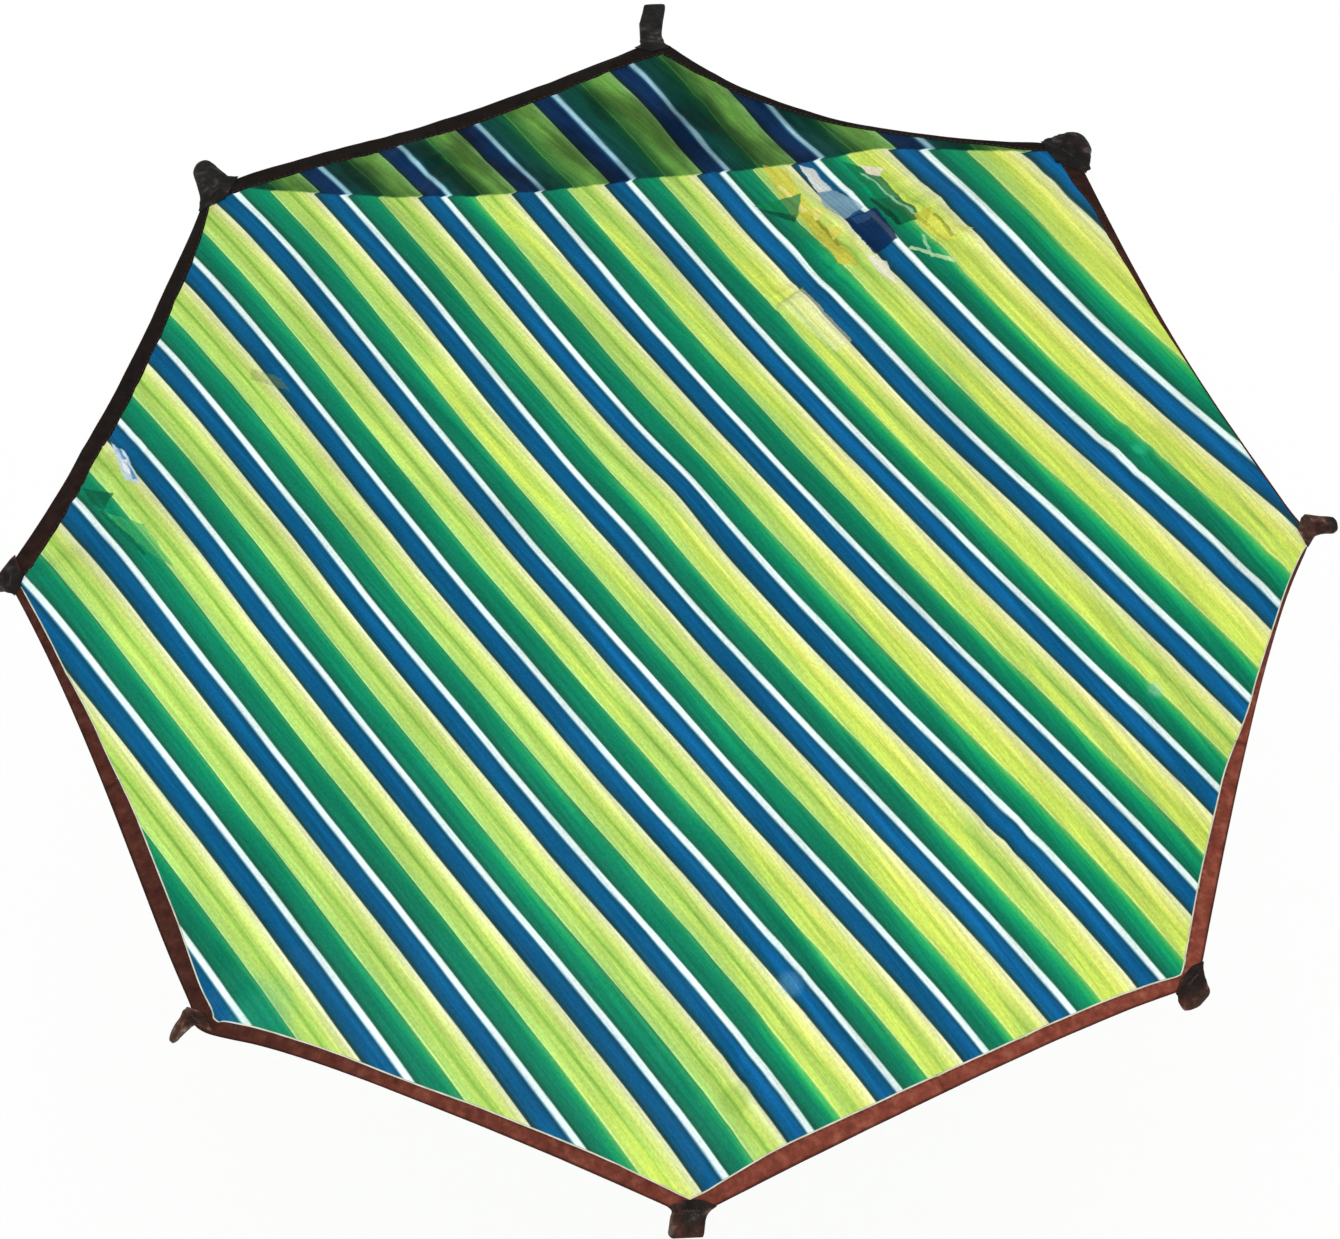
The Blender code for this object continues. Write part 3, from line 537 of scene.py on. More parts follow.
def tape_look():
    """Folded woven tape in reddish brown on the near side; on the far side its shade is painted in as
    black.
    """
    look = Look("woven_tape", {"Roughness": 0.75, "Specular IOR Level": 0.10})
    tone, along, across = look.split(look.point("tone"))
    plan = look.point("plan")
    mottle = look.noise(plan, 55.0, 4.0, 0.6)
    # the palest brown stands in for mottled highlights on the lit tape: painted highlight
    brown = look.ramp(mottle, [(0.25, "5e2a1e"), (0.5, "844132"), (0.78, "a8644f")])
    # black: the same tape in painted shade, for the far side
    black = look.ramp(mottle, [(0.3, "0d0a08"), (0.75, "221a16")])
    colour = look.mix(tone, black, brown)
    # painted shade along the rounded outer fold
    rim = look.range(across, 0.80, 0.97)
    colour = look.mix(look.times(rim, 0.75), colour, linear("1c0d09"))
    look.colour(colour)
    ribbing = wave(look, along, 0.0022)
    cords = wave(look, across, 0.12)
    height = look.math("MULTIPLY_ADD", ribbing, 0.35, look.times(cords, 0.25))
    look.bump(look.math("ADD", height, mottle), 0.0006, 0.6)
    look.roughness(look.range(mottle, 0.3, 0.7, 0.68, 0.85))
    return look.material


def webbing_look():
    """Coarse black webbing, reddish or greyish brown in places; its high spots are pale with wear and
    painted highlight.
    """
    look = Look("corner_webbing", {"Roughness": 0.6, "Specular IOR Level": 0.25})
    tone, along, across = look.split(look.point("tone"))
    place = look.place()
    wear_and_painted_highlight = look.noise(place, 48.0, 5.0, 0.65)
    # each ramp's palest step is painted highlight on the high spots, together with wear
    black = look.ramp(wear_and_painted_highlight, [(0.40, "0b0908"), (0.58, "1d1916"), (0.72, "57504a")])
    red = look.ramp(wear_and_painted_highlight, [(0.38, "24120c"), (0.56, "4c2a1e"), (0.72, "8a6454")])
    brown = look.ramp(wear_and_painted_highlight, [(0.38, "2a1f1a"), (0.56, "66564c"), (0.72, "a89a90")])
    colour = look.mix(look.range(tone, 0.0, 0.4), black, red)
    look.colour(look.mix(look.range(tone, 0.45, 0.9), colour, brown))
    ribbing = look.times(wave(look, along, 0.0036), wave(look, across, 0.0026))
    look.bump(look.math("MULTIPLY_ADD", ribbing, 0.4, wear_and_painted_highlight), 0.0016, 0.8)
    look.roughness(look.range(wear_and_painted_highlight, 0.4, 0.7, 0.75, 0.45))
    return look.material


def fibre_look(name, roughness, tint, dark, light, grain, depth):
    """Thread or raw cloth; its tint and its grain are each a noise of (scale, detail)."""
    look = Look(name, {"Roughness": roughness})
    place = look.place()
    look.colour(look.ramp(look.noise(place, *tint), [(0.3, dark), (0.7, light)]))
    look.bump(look.noise(place, *grain), depth, 0.5)
    return look.material


def steel_look(name, dark, light, roughness):
    """Plated or drawn steel with fine lengthwise scratches."""
    look = Look(name, {"Roughness": roughness, "Metallic": 1.0})
    place = look.place()
    cloud = look.noise(place, 18.0, 4.0, 0.6)
    scratch = look.noise(look.stretched(place, (1.0, 1.0, 6.0)), 240.0, 2.0)
    look.colour(look.ramp(cloud, [(0.3, dark), (0.7, light)]))
    look.roughness(look.range(scratch, 0.3, 0.7, roughness - 0.08, roughness + 0.10))
    look.bump(scratch, 0.0002, 0.3)
    return look.material


def paint_look():
    """White powder coat with its orange-peel surface and a little dust towards the ground."""
    look = Look("pole_powder_coat", {"Roughness": 0.38, "Coat Weight": 0.15, "Coat Roughness": 0.2})
    place = look.place()
    height = look.split(place)[2]
    cloud = look.noise(place, 9.0, 4.0, 0.6)
    clean = look.ramp(cloud, [(0.3, "dcdedb"), (0.7, "f1f2ef")])
    dust = look.times(look.range(height, 0.16, 0.0), look.range(cloud, 0.35, 0.6))
    look.colour(look.mix(look.times(dust, 0.5), clean, linear("b9aa90")))
    look.roughness(look.range(cloud, 0.3, 0.7, 0.32, 0.46))
    look.bump(look.noise(place, 420.0, 2.0), 0.0004, 0.35)
    return look.material


def nylon_look():
    """Black moulded nylon with a fine spark-eroded grain, paler where hands rub it."""
    look = Look("black_nylon", {"Roughness": 0.5, "Specular IOR Level": 0.45})
    place = look.place()
    cloud = look.noise(place, 30.0, 4.0, 0.6)
    look.colour(look.ramp(cloud, [(0.3, "141415"), (0.6, "1d1d1f"), (0.8, "2b2b2d")]))
    grain = look.noise(place, 900.0, 2.0)
    look.roughness(look.range(cloud, 0.3, 0.75, 0.58, 0.40))
    look.bump(grain, 0.0003, 0.4)
    return look.material


# ---------------------------------------------------------------- mesh helpers

def shown(name, mesh, look, body):
    """Links a finished mesh in the row frame as a piece that rides on a body."""
    piece = bpy.data.objects.new(name, mesh)
    bpy.context.scene.collection.objects.link(piece)
    for material in look if isinstance(look, tuple) else (look,):
        piece.data.materials.append(material)
    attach(piece, body)
    return piece


def mesh_from(points, faces):
    mesh = bpy.data.meshes.new("shape")
    mesh.from_pydata([tuple(p) for p in points], [], faces)
    mesh.validate()
    return mesh


def store(mesh, name, values):
    attribute = mesh.attributes.new(name, "FLOAT_VECTOR", "POINT")
    attribute.data.foreach_set("vector", np.asarray(values, np.float32).ravel())


def store_plan(mesh, plan):
    """Keeps each point's place on the flat cut, so that prints and threads stay put when it folds."""
    x, y = plan[:, 0], plan[:, 1]
    s, t = stripe_axes(x, y)
    store(mesh, "plan", np.stack((x, y, np.zeros_like(x)), 1))
    store(mesh, "stripe", np.stack((stripe_phase(x, y), s, t), 1))


def closed_grid(rows, columns):
    """Faces of a thin body: an upper and a lower grid of rows by columns, joined round the rim."""
    lower = rows * columns
    faces = []
    for i in range(rows - 1):
        for j in range(columns - 1):
            a, b = i * columns + j, i * columns + j + 1
            c, d = a + columns, b + columns
            faces.append((a, b, d, c))
            faces.append((lower + a, lower + c, lower + d, lower + b))
    rim = list(range(columns))
    rim += [i * columns + columns - 1 for i in range(1, rows)]
    rim += [(rows - 1) * columns + j for j in range(columns - 2, -1, -1)]
    rim += [i * columns for i in range(rows - 2, 0, -1)]
    for here, there in zip(rim, rim[1:] + rim[:1]):
        faces.append((there, here, lower + here, lower + there))
    return faces


def tube(count, sides):
    """Faces of a body through so many rings of so many points each, closed at both ends."""
    faces = []
    for i in range(count - 1):
        for j in range(sides):
            k = (j + 1) % sides
            faces.append((i * sides + j, i * sides + k, (i + 1) * sides + k, (i + 1) * sides + j))
    faces.append(tuple(reversed(range(sides))))
    faces.append(tuple((count - 1) * sides + j for j in range(sides)))
    return faces


def smooth_body(points, faces):
    """Mesh of closed bodies with smooth shading and faces that look outward."""
    mesh = mesh_from(points, faces)
    form = bmesh.new()
    form.from_mesh(mesh)
    bmesh.ops.recalc_face_normals(form, faces=form.faces)
    form.to_mesh(mesh)
    form.free()
    mesh.shade_smooth()
    return mesh


def band(plan, offset, sides):
    """Body over the cloth through rings of plan points, each lifted by its offset."""
    plan = np.array(plan)
    height = cloth_height(plan[:, 0], plan[:, 1]) + np.array(offset)
    points = np.concatenate((plan, height[:, None]), axis=1)
    return smooth_body(points, tube(len(points) // sides, sides))


def add_body(points, faces, rings):
    """Adds one closed body through rings of points to lists of points and faces."""
    first = len(points)
    points += [point for ring in rings for point in ring]
    faces += [tuple(first + corner for corner in face) for face in tube(len(rings), len(rings[0]))]


# ---------------------------------------------------------------- cloth

def cloth_grid():
    """Plan points of the whole cloth, rows from the crown out and columns clockwise from corner 1."""
    edge = [edge_point(number, j / COLUMNS) + edge_inward(number, j / COLUMNS) * CLOTH_INSET
            for number in range(1, RIBS + 1) for j in range(COLUMNS)]
    edge = np.array(edge)
    reach = np.hypot(edge[:, 0], edge[:, 1])
    share = np.linspace(0, 1, ROWS)[:, None]
    radius = FIRST_ROW + (reach[None, :] - FIRST_ROW) * share
    direction = edge / reach[:, None]
    return radius[:, :, None] * direction[None, :, :]


def grid_normals(points):
    """Unit normals of a closed ring of columns, by central differences."""
    down = np.gradient(points, axis=0)
    round_it = np.roll(points, -1, axis=1) - np.roll(points, 1, axis=1)
    normal = np.cross(round_it, down)
    normal *= np.sign(normal[..., 2:3])
    return normal / np.linalg.norm(normal, axis=2, keepdims=True)


def gores(looks):
    """Eight gores on the ribs, each from the middle of one edge to the middle of the next."""
    plan = cloth_grid()
    height = cloth_height(plan[..., 0], plan[..., 1])
    middle = np.concatenate((plan, height[..., None]), axis=2)
    normal = grid_normals(middle)
    made = []
    for number in range(1, RIBS + 1):
        columns = [((number - 1) * COLUMNS + j) % (RIBS * COLUMNS)
                   for j in range(-COLUMNS // 2, COLUMNS // 2 + 1)]
        points, out = middle[:, columns], normal[:, columns]
        flat = plan[:, columns].reshape(-1, 2)
        half = out * CLOTH_THICKNESS / 2
        body = np.concatenate(((points + half).reshape(-1, 3), (points - half).reshape(-1, 3)))
        mesh = mesh_from(body, closed_grid(ROWS, len(columns)))
        store_plan(mesh, np.concatenate((flat, flat)))
        quads = (ROWS - 1) * (len(columns) - 1)
        back = np.zeros(len(mesh.polygons), np.int32)
        back[1:2 * quads:2] = 1
        mesh.polygons.foreach_set("material_index", back)
        mesh.shade_smooth()
        mesh.normals_split_custom_set_from_vertices(
            np.concatenate((out.reshape(-1, 3), -out.reshape(-1, 3))))
        gore = folding("cloth_gore", number, mesh, looks)
        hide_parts("canopy")
        made.append(gore)
    return made


def folding(kind, number, mesh, look):
    """A finished mesh as a piece with a mesh of its own that rides on a rib."""
    piece = shown(f"{kind}_{number}", mesh, look, f"rib_{number}")
    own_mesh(piece)
    return piece


def crown(looks):
    """Round patch of the same cloth over the notch, so that the crown stays covered when folded."""
    radius, rings, sides = 0.055, 14, 96
    lift, thick, thin = 0.0005, 0.0005, 0.0001
    form = bmesh.new()
    layers = []
    for offset in (1, 0):
        loops = []
        for ring in range(1, rings + 1):
            reach = radius * ring / rings
            turns = np.arange(sides) * 2 * math.pi / sides
            x, y = reach * np.cos(turns), reach * np.sin(turns)
            top = thick + (thin - thick) * soft_step(reach, 0.6 * radius, radius)
            z = cloth_height(x, y) + lift + offset * top
            loops.append([form.verts.new(p) for p in zip(x, y, z)])
        z = float(cloth_height(0.0, 0.0)[0]) + lift + offset * thick
        layers.append((form.verts.new((0.0, 0.0, z)), loops))
    for (centre, loops), back in zip(layers, (0, 1)):
        for i in range(sides):
            j = (i + 1) % sides
            form.faces.new((centre, loops[0][i], loops[0][j])).material_index = back
            for inner, outer in zip(loops, loops[1:]):
                form.faces.new((inner[i], outer[i], outer[j], inner[j])).material_index = back
    upper, lower = layers[0][1][-1], layers[1][1][-1]
    for i in range(sides):
        j = (i + 1) % sides
        form.faces.new((upper[i], lower[i], lower[j], upper[j]))
    bmesh.ops.recalc_face_normals(form, faces=form.faces)
    mesh = bpy.data.meshes.new("shape")
    form.to_mesh(mesh)
    form.free()
    mesh.shade_smooth()
    flat = np.array([v.co[:2] for v in mesh.vertices])
    x, y = flat[:, 0], flat[:, 1]
    step = 0.002
    rise_x = cloth_height(x + step, y) - cloth_height(x - step, y)
    rise_y = cloth_height(x, y + step) - cloth_height(x, y - step)
    normal = np.stack((-rise_x, -rise_y, np.full(len(flat), 2 * step)), 1)
    normal /= np.linalg.norm(normal, axis=1, keepdims=True)
    side = np.array([v.normal.z for v in mesh.vertices])
    normal *= np.where(side < 0, -1, 1)[:, None]
    mesh.normals_split_custom_set_from_vertices(normal)
    store_plan(mesh, flat)
    patch = shown("cloth_crown", mesh, looks, "mast")
    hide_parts("canopy")


# ---------------------------------------------------------------- tape, stitches and selvedge

def along_edge(values, t):
    """Value at t from 0 to 1, eased between evenly spaced values."""
    place = min(max(t, 0.0), 1.0) * (len(values) - 1)
    index = min(int(place), len(values) - 2)
    share = place - index
    share = share * share * (3 - 2 * share)
    return values[index] + (values[index + 1] - values[index]) * share


def tape_width(number, t):
    """Visible width of the tape along an edge, for t from 0 at its first corner to 1 at its next."""
    return along_edge(TAPE_WIDTHS[(number - 1) % RIBS], t) / 1000


def tape_depth(number, t):
    """Vector from the edge to the tape's inner border, mitred towards each corner."""
    depth = edge_inward(number, t) * tape_width(number, t)
    for corner, share in ((number, t), (number + 1, 1 - t)):
        inner = inner_corner(corner) - corner_point(corner)
        near = math.exp(-((share / 0.035) ** 2))
        depth = depth.lerp(inner, near)
    return depth


def inner_corner(corner):
    """Where the inner borders of the tapes on both sides of a corner meet."""
    before, after = edge_before(corner), (corner - 1) % RIBS + 1
    first, second = edge_inward(before, 0.95), edge_inward(after, 0.05)
    reach_1 = first.dot(edge_point(before, 0.95)) + tape_width(before, 0.95)
    reach_2 = second.dot(edge_point(after, 0.05)) + tape_width(after, 0.05)
    cross = first.x * second.y - first.y * second.x
    return Vector((reach_1 * second.y - reach_2 * first.y, reach_2 * first.x - reach_1 * second.x)) / cross


def half_edges(number):
    """(edge number, t) stations of the tape on one rib: the end of one edge and the start of the next."""
    before, steps = edge_before(number), 60
    near = [0.5 * (i / steps) ** 1.6 for i in range(steps + 1)]
    return [(before, 1 - t) for t in near[:0:-1]] + [(number, t) for t in near]


def tape(number, look):
    """Folded tape round one corner, with a soft rounded fold outside and puckers from the sewing."""
    profile = ((0.0, 0.2), (0.10, 0.75), (0.35, 0.95), (0.70, 1.0), (0.90, 0.85), (0.985, 0.4),
               (1.0, 0.0), (0.985, -0.4), (0.90, -0.85), (0.70, -1.0), (0.30, -0.9), (0.0, -0.6))
    plan, offset, tones, along, last = [], [], [], 0.0, None
    for edge, t in half_edges(number):
        outer = edge_point(edge, t)
        if last is not None:
            along += (outer - last).length
        last = outer
        depth = tape_depth(edge, t)
        pucker = noise.noise(Vector((outer.x * 45, outer.y * 45, 4.0)))
        depth *= 1 + 0.08 * pucker
        swell = TAPE_HALF_THICKNESS * (1 + 0.35 * noise.noise(Vector((outer.x * 70, outer.y * 70, 9.0))))
        for share, side in profile:
            point = outer + depth * (1 - share)
            plan.append((point.x, point.y))
            offset.append(side * swell)
            tones.append((along_edge(TAPE_LIT_SHARES[(edge - 1) % RIBS], t), along, share))
    mesh = band(plan, offset, len(profile))
    store_plan(mesh, np.array(plan))
    store(mesh, "tone", tones)
    piece = folding("edge_tape", number, mesh, look)
    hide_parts("edge_binding")
    return piece


def stitches(number, look):
    """Running stitches along the tape's inner border, each a small raised thread."""
    pitch, border = 0.009, 0.0026
    points, faces = [], []
    travelled, next_stitch, last = 0.0, 0.5 * pitch, None
    for edge, t in half_edges(number):
        depth = tape_depth(edge, t)
        spot = edge_point(edge, t) + depth * max(1 - border / depth.length, 0.4)
        if last is not None:
            step = (spot - last).length
            while next_stitch < travelled + step:
                centre = last.lerp(spot, (next_stitch - travelled) / step)
                add_body(points, faces, stitch_rings(centre, (spot - last).normalized()))
                next_stitch += pitch
            travelled += step
        last = spot
    return folding("edge_stitches", number, smooth_body(points, faces), look)


def stitch_rings(centre, direction):
    """One stitch: a lens of thread that dips into the tape at both ends."""
    length, half_width, rise, sides = 0.0058, 0.00045, 0.0005, 6
    side = Vector((-direction.y, direction.x))
    base = float(cloth_height(centre.x, centre.y)[0]) + TAPE_HALF_THICKNESS
    rings = []
    for share, fullness in ((-0.5, 0.3), (-0.3, 0.85), (0.0, 1.0), (0.3, 0.85), (0.5, 0.3)):
        middle = centre + direction * length * share
        ring = []
        for turn in range(sides):
            angle = turn * 2 * math.pi / sides
            spot = middle + side * half_width * fullness * math.cos(angle)
            ring.append((spot.x, spot.y, base + rise * fullness * (0.25 + math.sin(angle))))
        rings.append(ring)
    return rings


def selvedge(number, look):
    """White raw border of the cloth that shows beside the tape on the near edges."""
    width, thickness, under_tape = 0.0026, 0.0007, 0.0008
    profile = ((0.0, 0.1), (0.25, 0.8), (0.75, 0.8), (1.0, 0.1), (0.75, -0.3), (0.25, -0.3))
    plan, offset = [], []
    for edge, t in half_edges(number):
        if edge not in SELVEDGE_EDGES:
            continue
        depth = tape_depth(edge, t)
        start = depth.length - under_tape
        for share, side in profile:
            point = edge_point(edge, t) + depth.normalized() * (start + width * share)
            plan.append((point.x, point.y))
            offset.append(CLOTH_THICKNESS / 2 + side * thickness)
    return folding("white_selvedge", number, band(plan, offset, len(profile)), look)


# ---------------------------------------------------------------- corner pockets
# A corner's own frame: origin on its rib one metre out, +X outward, +Y counterclockwise, +Z up.
# Each pocket: whether it is flat webbing with square ends, how deep its dents are, its brownness at the
# root and the end and on its left and right sides, how much browner its folds are, and its outline as
# stations of (x, left side, right side, half thickness) in millimetres. Where it starts blunt on the
# tape, blunt is half that width, and back is how far inward of the corner it starts if not by the
# tape's width, both in metres
POCKETS = {
    1: dict(flat=True, dent=0.02, tones=(0.0, 0.0, 0.0, 0.0), lumps=0.05, outline=(
        (-20, 5, -37, 3), (-10, 3, -34, 6), (6, 3, -34, 6), (34, 3, -37, 6), (48, 0, -39, 6),
        (62, -3, -41, 6), (76, -5, -43, 6), (79, -6, -42, 5))),
    2: dict(flat=False, dent=0.16, tones=(0.0, 0.05, 0.0, 0.0), lumps=0.15, outline=(
        (-10, 63, -45, 4), (0, 57, -36, 9), (10, 53, -28, 13), (20, 51, -23, 15), (30, 48, -17, 15),
        (40, 44, -10, 13), (48, 39, -1, 10), (54, 32, 10, 6), (57, 24, 17, 2))),
    3: dict(flat=False, dent=0.08, tones=(0.50, 0.0, 0.2, 0.1), lumps=0.2, outline=(
        (-20, 17, -42, 2), (-10, 20, -29, 4), (0, 21, -16, 7), (12, 20, -11, 8), (24, 20, -9, 9),
        (33, 20, -8, 9), (38, 19, -6, 8), (41, 12, -1, 3))),
    4: dict(flat=True, dent=0.10, tones=(0.1, 0.1, 0.1, 0.4), blunt=0.014, lumps=0.3, outline=(
        (-8, 50, -50, 3), (4, 38, -38, 6), (12, 24, -38, 7), (20, 18, -39, 8), (30, 14, -40, 8),
        (37, 11, -36, 7), (42, 8, -26, 5), (44, 2, -18, 2))),
    # corner 5 is an open loop: its black middle between browner sides is painted shade inside the loop
    5: dict(flat=True, dent=0.05, tones=(0.0, 0.2, 0.2, 0.9), blunt=0.014, lumps=0.2, outline=(
        (-6, 44, -54, 2), (4, 26, -41, 5), (10, 14, -39, 7), (18, 9, -41, 7), (30, 7, -43, 7),
        (38, 6, -45, 7), (42, 5, -42, 6), (44, 3, -38, 4))),
    6: dict(flat=False, dent=0.06, tones=(0.35, 0.5, 0.3, 0.5), lumps=0.4, outline=(
        (-18, 62, -27, 2), (-10, 30, -19, 4), (-3, 15, -15, 6), (5, 10, -13, 6), (15, 8, -13, 6),
        (26, 7, -11, 6), (36, 7, -7, 6), (41, 4, -3, 3))),
    7: dict(flat=False, dent=0.05, tones=(0.0, 0.3, 0.0, 0.3), lumps=0.1, back=0.028, outline=(
        (-8, 43, -74, 3), (2, 28, -54, 6), (10, 20, -44, 8), (17, 14, -39, 9), (24, 10, -32, 9),
        (32, 9, -22, 8), (38, 6, -12, 5), (40, 2, -6, 2))),
    8: dict(flat=False, dent=0.05, tones=(0.0, 0.0, 0.0, 0.0), lumps=0.05, outline=(
        (-8, 74, -68, 3), (4, 51, -46, 6), (12, 42, -36, 9), (22, 33, -32, 10), (40, 22, -34, 10),
        (58, 12, -36, 10), (74, 4, -38, 9), (84, -2, -37, 8), (91, -10, -33, 5), (95, -18, -26, 2))),
}
SEWN_HEIGHT = 0.0034
SEWN_THICKNESS = 0.0012


def placed(number, local):
    """World points of a corner's own coordinates; inside the corner they keep to the cloth."""
    angle = corner_angle(number)
    x, y = CORNER_RADIUS * math.cos(angle), CORNER_RADIUS * math.sin(angle)
    place = Matrix.Translation((x, y, float(cloth_height(x, y)[0])))
    place = place @ Matrix.Rotation(angle, 4, "Z") @ Matrix.Rotation(RIB_END_SLOPE, 4, "Y")
    local = np.asarray(local, float)
    world = local @ np.array(place.to_3x3()).T + np.array(place.translation)
    cloth = cloth_height(world[:, 0], world[:, 1]) + local[:, 2]
    corner = CORNER_REACH[number - 1]
    inside = np.clip((corner + 0.008 - local[:, 0]) / 0.014, 0, 1)
    world[:, 2] += (cloth - world[:, 2]) * inside
    return world


def tape_sides(number):
    """A corner in its own frame, and its tape's outer edges left and right of it as arrays of (x, y)."""
    turn = Matrix.Rotation(-corner_angle(number), 2)
    before = edge_before(number)
    shares = [i / 200 for i in range(30)]

    def own(point):
        return turn @ point - Vector((CORNER_RADIUS, 0.0))

    left = np.array([own(edge_point(before, 1 - t)) for t in shares])[::-1]
    right = np.array([own(edge_point(number, t)) for t in shares])[::-1]
    return own(corner_point(number)), left, right


def widened(x, stations, column):
    """One column of an outline at x in metres, rounded between its stations."""
    places = stations[:, 0]
    window = min(0.0035, max(places[-1] - x, 0.0))
    spots = x + np.linspace(-1, 1, 5) * window
    return float(np.interp(spots, places, stations[:, column]).mean())


def pocket_shape(number):
    """Points, rings and tones of one pocket: thin on the tape, full where it holds the rib's tip."""
    shape = POCKETS[number]
    stations = np.array(shape["outline"]) / 1000
    corner, left_tape, right_tape = tape_sides(number)
    back = shape.get("back", max(1.05 * tape_width(number, 0.02), 0.020))
    start, end = corner.x - back, stations[-1, 0]
    steps, sides = 60, 48
    power = 0.45 if shape["flat"] else 0.85
    root, tip, left_tone, right_tone = shape["tones"]
    local, tones = [], []
    for i in range(steps):
        share = i / (steps - 1)
        x = start + (end - start) * (share + 0.05 * math.sin(2 * math.pi * share))
        joined = float(soft_step(x, corner.x - 0.024, corner.x - 0.002))
        left = float(np.interp(x, left_tape[:, 0], left_tape[:, 1]))
        right = float(np.interp(x, right_tape[:, 0], right_tape[:, 1]))
        left += (widened(x, stations, 1) - left) * joined
        right += (widened(x, stations, 2) - right) * joined
        notch = shape.get("blunt", 0.001) + (x - start) * math.tan(3 * math.pi / 8)
        left, right = min(left, corner.y + notch), max(right, corner.y - notch)
        out = float(soft_step(x, corner.x - 0.010, corner.x + 0.014))
        deep = SEWN_THICKNESS + (widened(x, stations, 3) - SEWN_THICKNESS) * out
        middle = SEWN_HEIGHT - 0.0005 + (-0.0045 - SEWN_HEIGHT) * out
        for k in range(sides):
            angle = 2 * math.pi * k / sides
            c, s = math.cos(angle), math.sin(angle)
            across = math.copysign(abs(c) ** power, c)
            y = 0.5 * (left + right) + 0.5 * (left - right) * across
            z = deep * math.copysign(abs(s) ** power, s)
            fold = noise.noise(Vector((x * 62 + number * 5, y * 48, z * 70 + number)))
            fine = noise.noise(Vector((x * 150, y * 90 + number * 3, z * 150)))
            dent = 1 - out * shape["dent"] * (1.6 * abs(fold) + 0.35 * fine)
            y += 0.5 * (left - right) * across * (dent - 1) * 0.4
            local.append((x, y, middle + z * dent))
            # browner sides round a black middle; on corner 5 this is painted shade inside the loop
            edge = left_tone * max(across, 0.0) ** 2 + right_tone * max(-across, 0.0) ** 2
            tone = root + (tip - root) * soft_step(x, corner.x, end) + edge
            tone += shape["lumps"] * abs(fold) * out
            tones.append((tone, x, y))
    return local, steps, sides, tones


def pocket(number, look):
    """Webbing pocket on a corner, folded flat or bunched."""
    local, count, sides, tones = pocket_shape(number)
    mesh = smooth_body(placed(number, local), tube(count, sides))
    store(mesh, "tone", tones)
    piece = folding("corner_pocket", number, mesh, look)
    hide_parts(f"tip_pocket_{number}")
    return piece


def bar_stitch(number, look):
    """Zigzag bar that holds the pocket's upper layer down on the tape."""
    half, turns = 0.012, 11
    height = SEWN_HEIGHT + 0.0013
    corner = tape_sides(number)[0]
    local, faces = [], []
    for i in range(turns):
        y0, y1 = (-half + 2 * half * (i + step) / turns for step in (0, 1))
        x0, x1 = (-0.010, -0.006) if i % 2 else (-0.006, -0.010)
        start = Vector((corner.x + x0, corner.y + y0, height))
        add_body(local, faces, thread_rings(start, Vector((corner.x + x1, corner.y + y1, height))))
    mesh = smooth_body(placed(number, local), faces)
    return shown(f"pocket_stitches_{number}", mesh, look, f"rib_{number}")


def thread_rings(start, end):
    """One straight stitch of round thread, thinner at both ends."""
    radius, sides = 0.0005, 6
    direction = (end - start).normalized()
    side = direction.cross(Vector((0, 0, 1))).normalized()
    up = side.cross(direction)
    rings = []
    for share, fullness in ((0.0, 0.4), (0.15, 1.0), (0.5, 1.0), (0.85, 1.0), (1.0, 0.4)):
        turns = [turn * 2 * math.pi / sides for turn in range(sides)]
        rings.append([start.lerp(end, share) + (side * math.cos(a) + up * math.sin(a)) * radius * fullness
                      for a in turns])
    return rings


# ---------------------------------------------------------------- CAD nodes that stay

def dress_frame():
    """Procedural materials for the carried-over metal and plastic nodes."""
    rib_steel = steel_look("zinc_plated_steel", "9c9fa1", "c9cbcc", 0.34)
    wire = steel_look("drawn_wire", "7d7f82", "b5b7b9", 0.30)
    bright = steel_look("plated_button", "a6a8aa", "dadcdd", 0.22)
    paint, nylon = paint_look(), nylon_look()
    ribs = {f"rib_{k}" for k in range(1, RIBS + 1)}
    exact = {"notch_wire": wire, "tilt_pin": bright, "tilt_button": bright, "runner_button": bright,
             "mast": paint, "extension_tube": paint, "lower_pole": paint}
    for name, node in frame["nodes"].items():
        steel = name.startswith(("rib_bracket", "stretcher")) or name in ribs
        look = exact.get(name, rib_steel if steel else nylon)
        node.data.materials.clear()
        node.data.materials.append(look)


# ---------------------------------------------------------------- stage, light and camera

def stage():
    """Pale floor at the spike's point, as the umbrella isn't in sand here."""
    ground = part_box("ground_spike")[0].z
    half = 14.0
    corners = [(-half, -half, ground), (half, -half, ground), (half, half, ground), (-half, half, ground)]
    mesh = mesh_from(corners, [(0, 1, 2, 3)])
    floor = bpy.data.objects.new("floor", mesh)
    bpy.context.scene.collection.objects.link(floor)
    look = Look("pale_floor", {"Roughness": 0.9, "Specular IOR Level": 0.1})
    look.shader.inputs["Base Color"].default_value = (0.93, 0.93, 0.93, 1.0)
    mesh.materials.append(look.material)


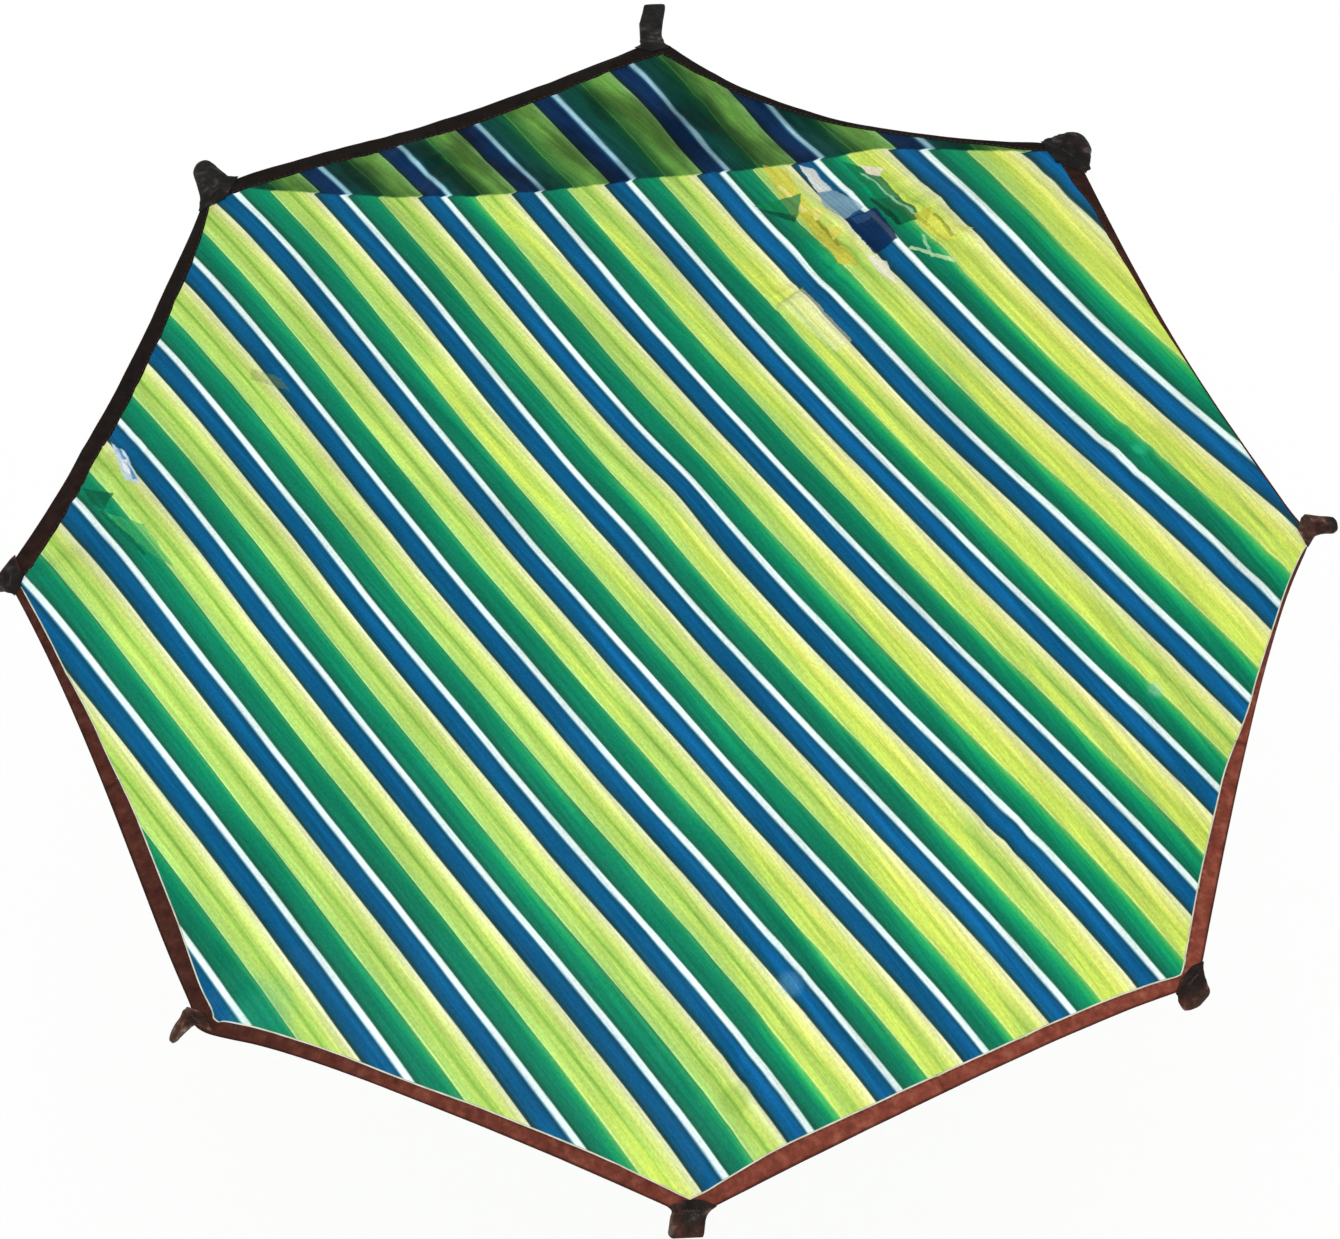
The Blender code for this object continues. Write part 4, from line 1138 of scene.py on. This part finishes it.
def lights():
    world = bpy.data.worlds.new("studio")
    bpy.context.scene.world = world
    world.use_nodes = True
    background = world.node_tree.nodes["Background"]
    background.inputs["Color"].default_value = (1.0, 1.0, 1.0, 1.0)
    background.inputs["Strength"].default_value = 0.52
    sun = bpy.data.lights.new("key", "SUN")
    sun.energy = 2.05
    sun.angle = math.radians(6)
    key = bpy.data.objects.new("key", sun)
    bpy.context.scene.collection.objects.link(key)
    key.matrix_world = aimed(from_direction(-18, 60) * 5, Vector((0, 0, 0)))
    bpy.context.scene.view_settings.view_transform = "Standard"


def from_direction(azimuth, elevation):
    a, e = math.radians(azimuth), math.radians(elevation)
    return Vector((math.sin(a) * math.cos(e), -math.cos(a) * math.cos(e), math.sin(e)))


def aimed(position, target, roll=0.0):
    """Matrix of a camera or lamp at a position that looks at a target."""
    turn = (target - position).to_track_quat("-Z", "Y").to_matrix().to_4x4()
    return Matrix.Translation(position) @ turn @ Matrix.Rotation(roll, 4, "Z")


def camera():
    """Looks down on the canopy from the near side, as high as shows all eight corners."""
    lens = bpy.data.cameras.new("camera")
    lens.lens = 67.56
    lens.sensor_width = 36.0
    eye = bpy.data.objects.new("camera", lens)
    bpy.context.scene.collection.objects.link(eye)
    corner_height = float(taut_height(0.0, CORNER_RADIUS))
    target = Vector((-0.0008, -0.1132, corner_height))
    eye.matrix_world = aimed(target + from_direction(-1.43, 64.45) * 3.82, target, math.radians(-1.196))
    bpy.context.scene.camera = eye


# ---------------------------------------------------------------- build

camera()
stage()
lights()
cloth = (cloth_look("striped_cloth", False), cloth_look("striped_cloth_back", True))
tape_material, webbing = tape_look(), webbing_look()
thread = fibre_look("sewing_thread", 0.6, (120.0, 2.0), "2a1c17", "4c352b", (900.0, 1.0), 0.0003)
white = fibre_look("white_selvedge", 0.55, (60.0, 3.0), "b9bba4", "e2e0cc", (500.0, 2.0), 0.0004)
cloth_gores = gores(cloth)
crown(cloth)
for index, gore in enumerate(cloth_gores, start=1):
    extras = [tape(index, tape_material), stitches(index, thread), pocket(index, webbing),
              bar_stitch(index, thread)]
    if index in SELVEDGE_RIBS:
        extras.append(selvedge(index, white))
dress_frame()
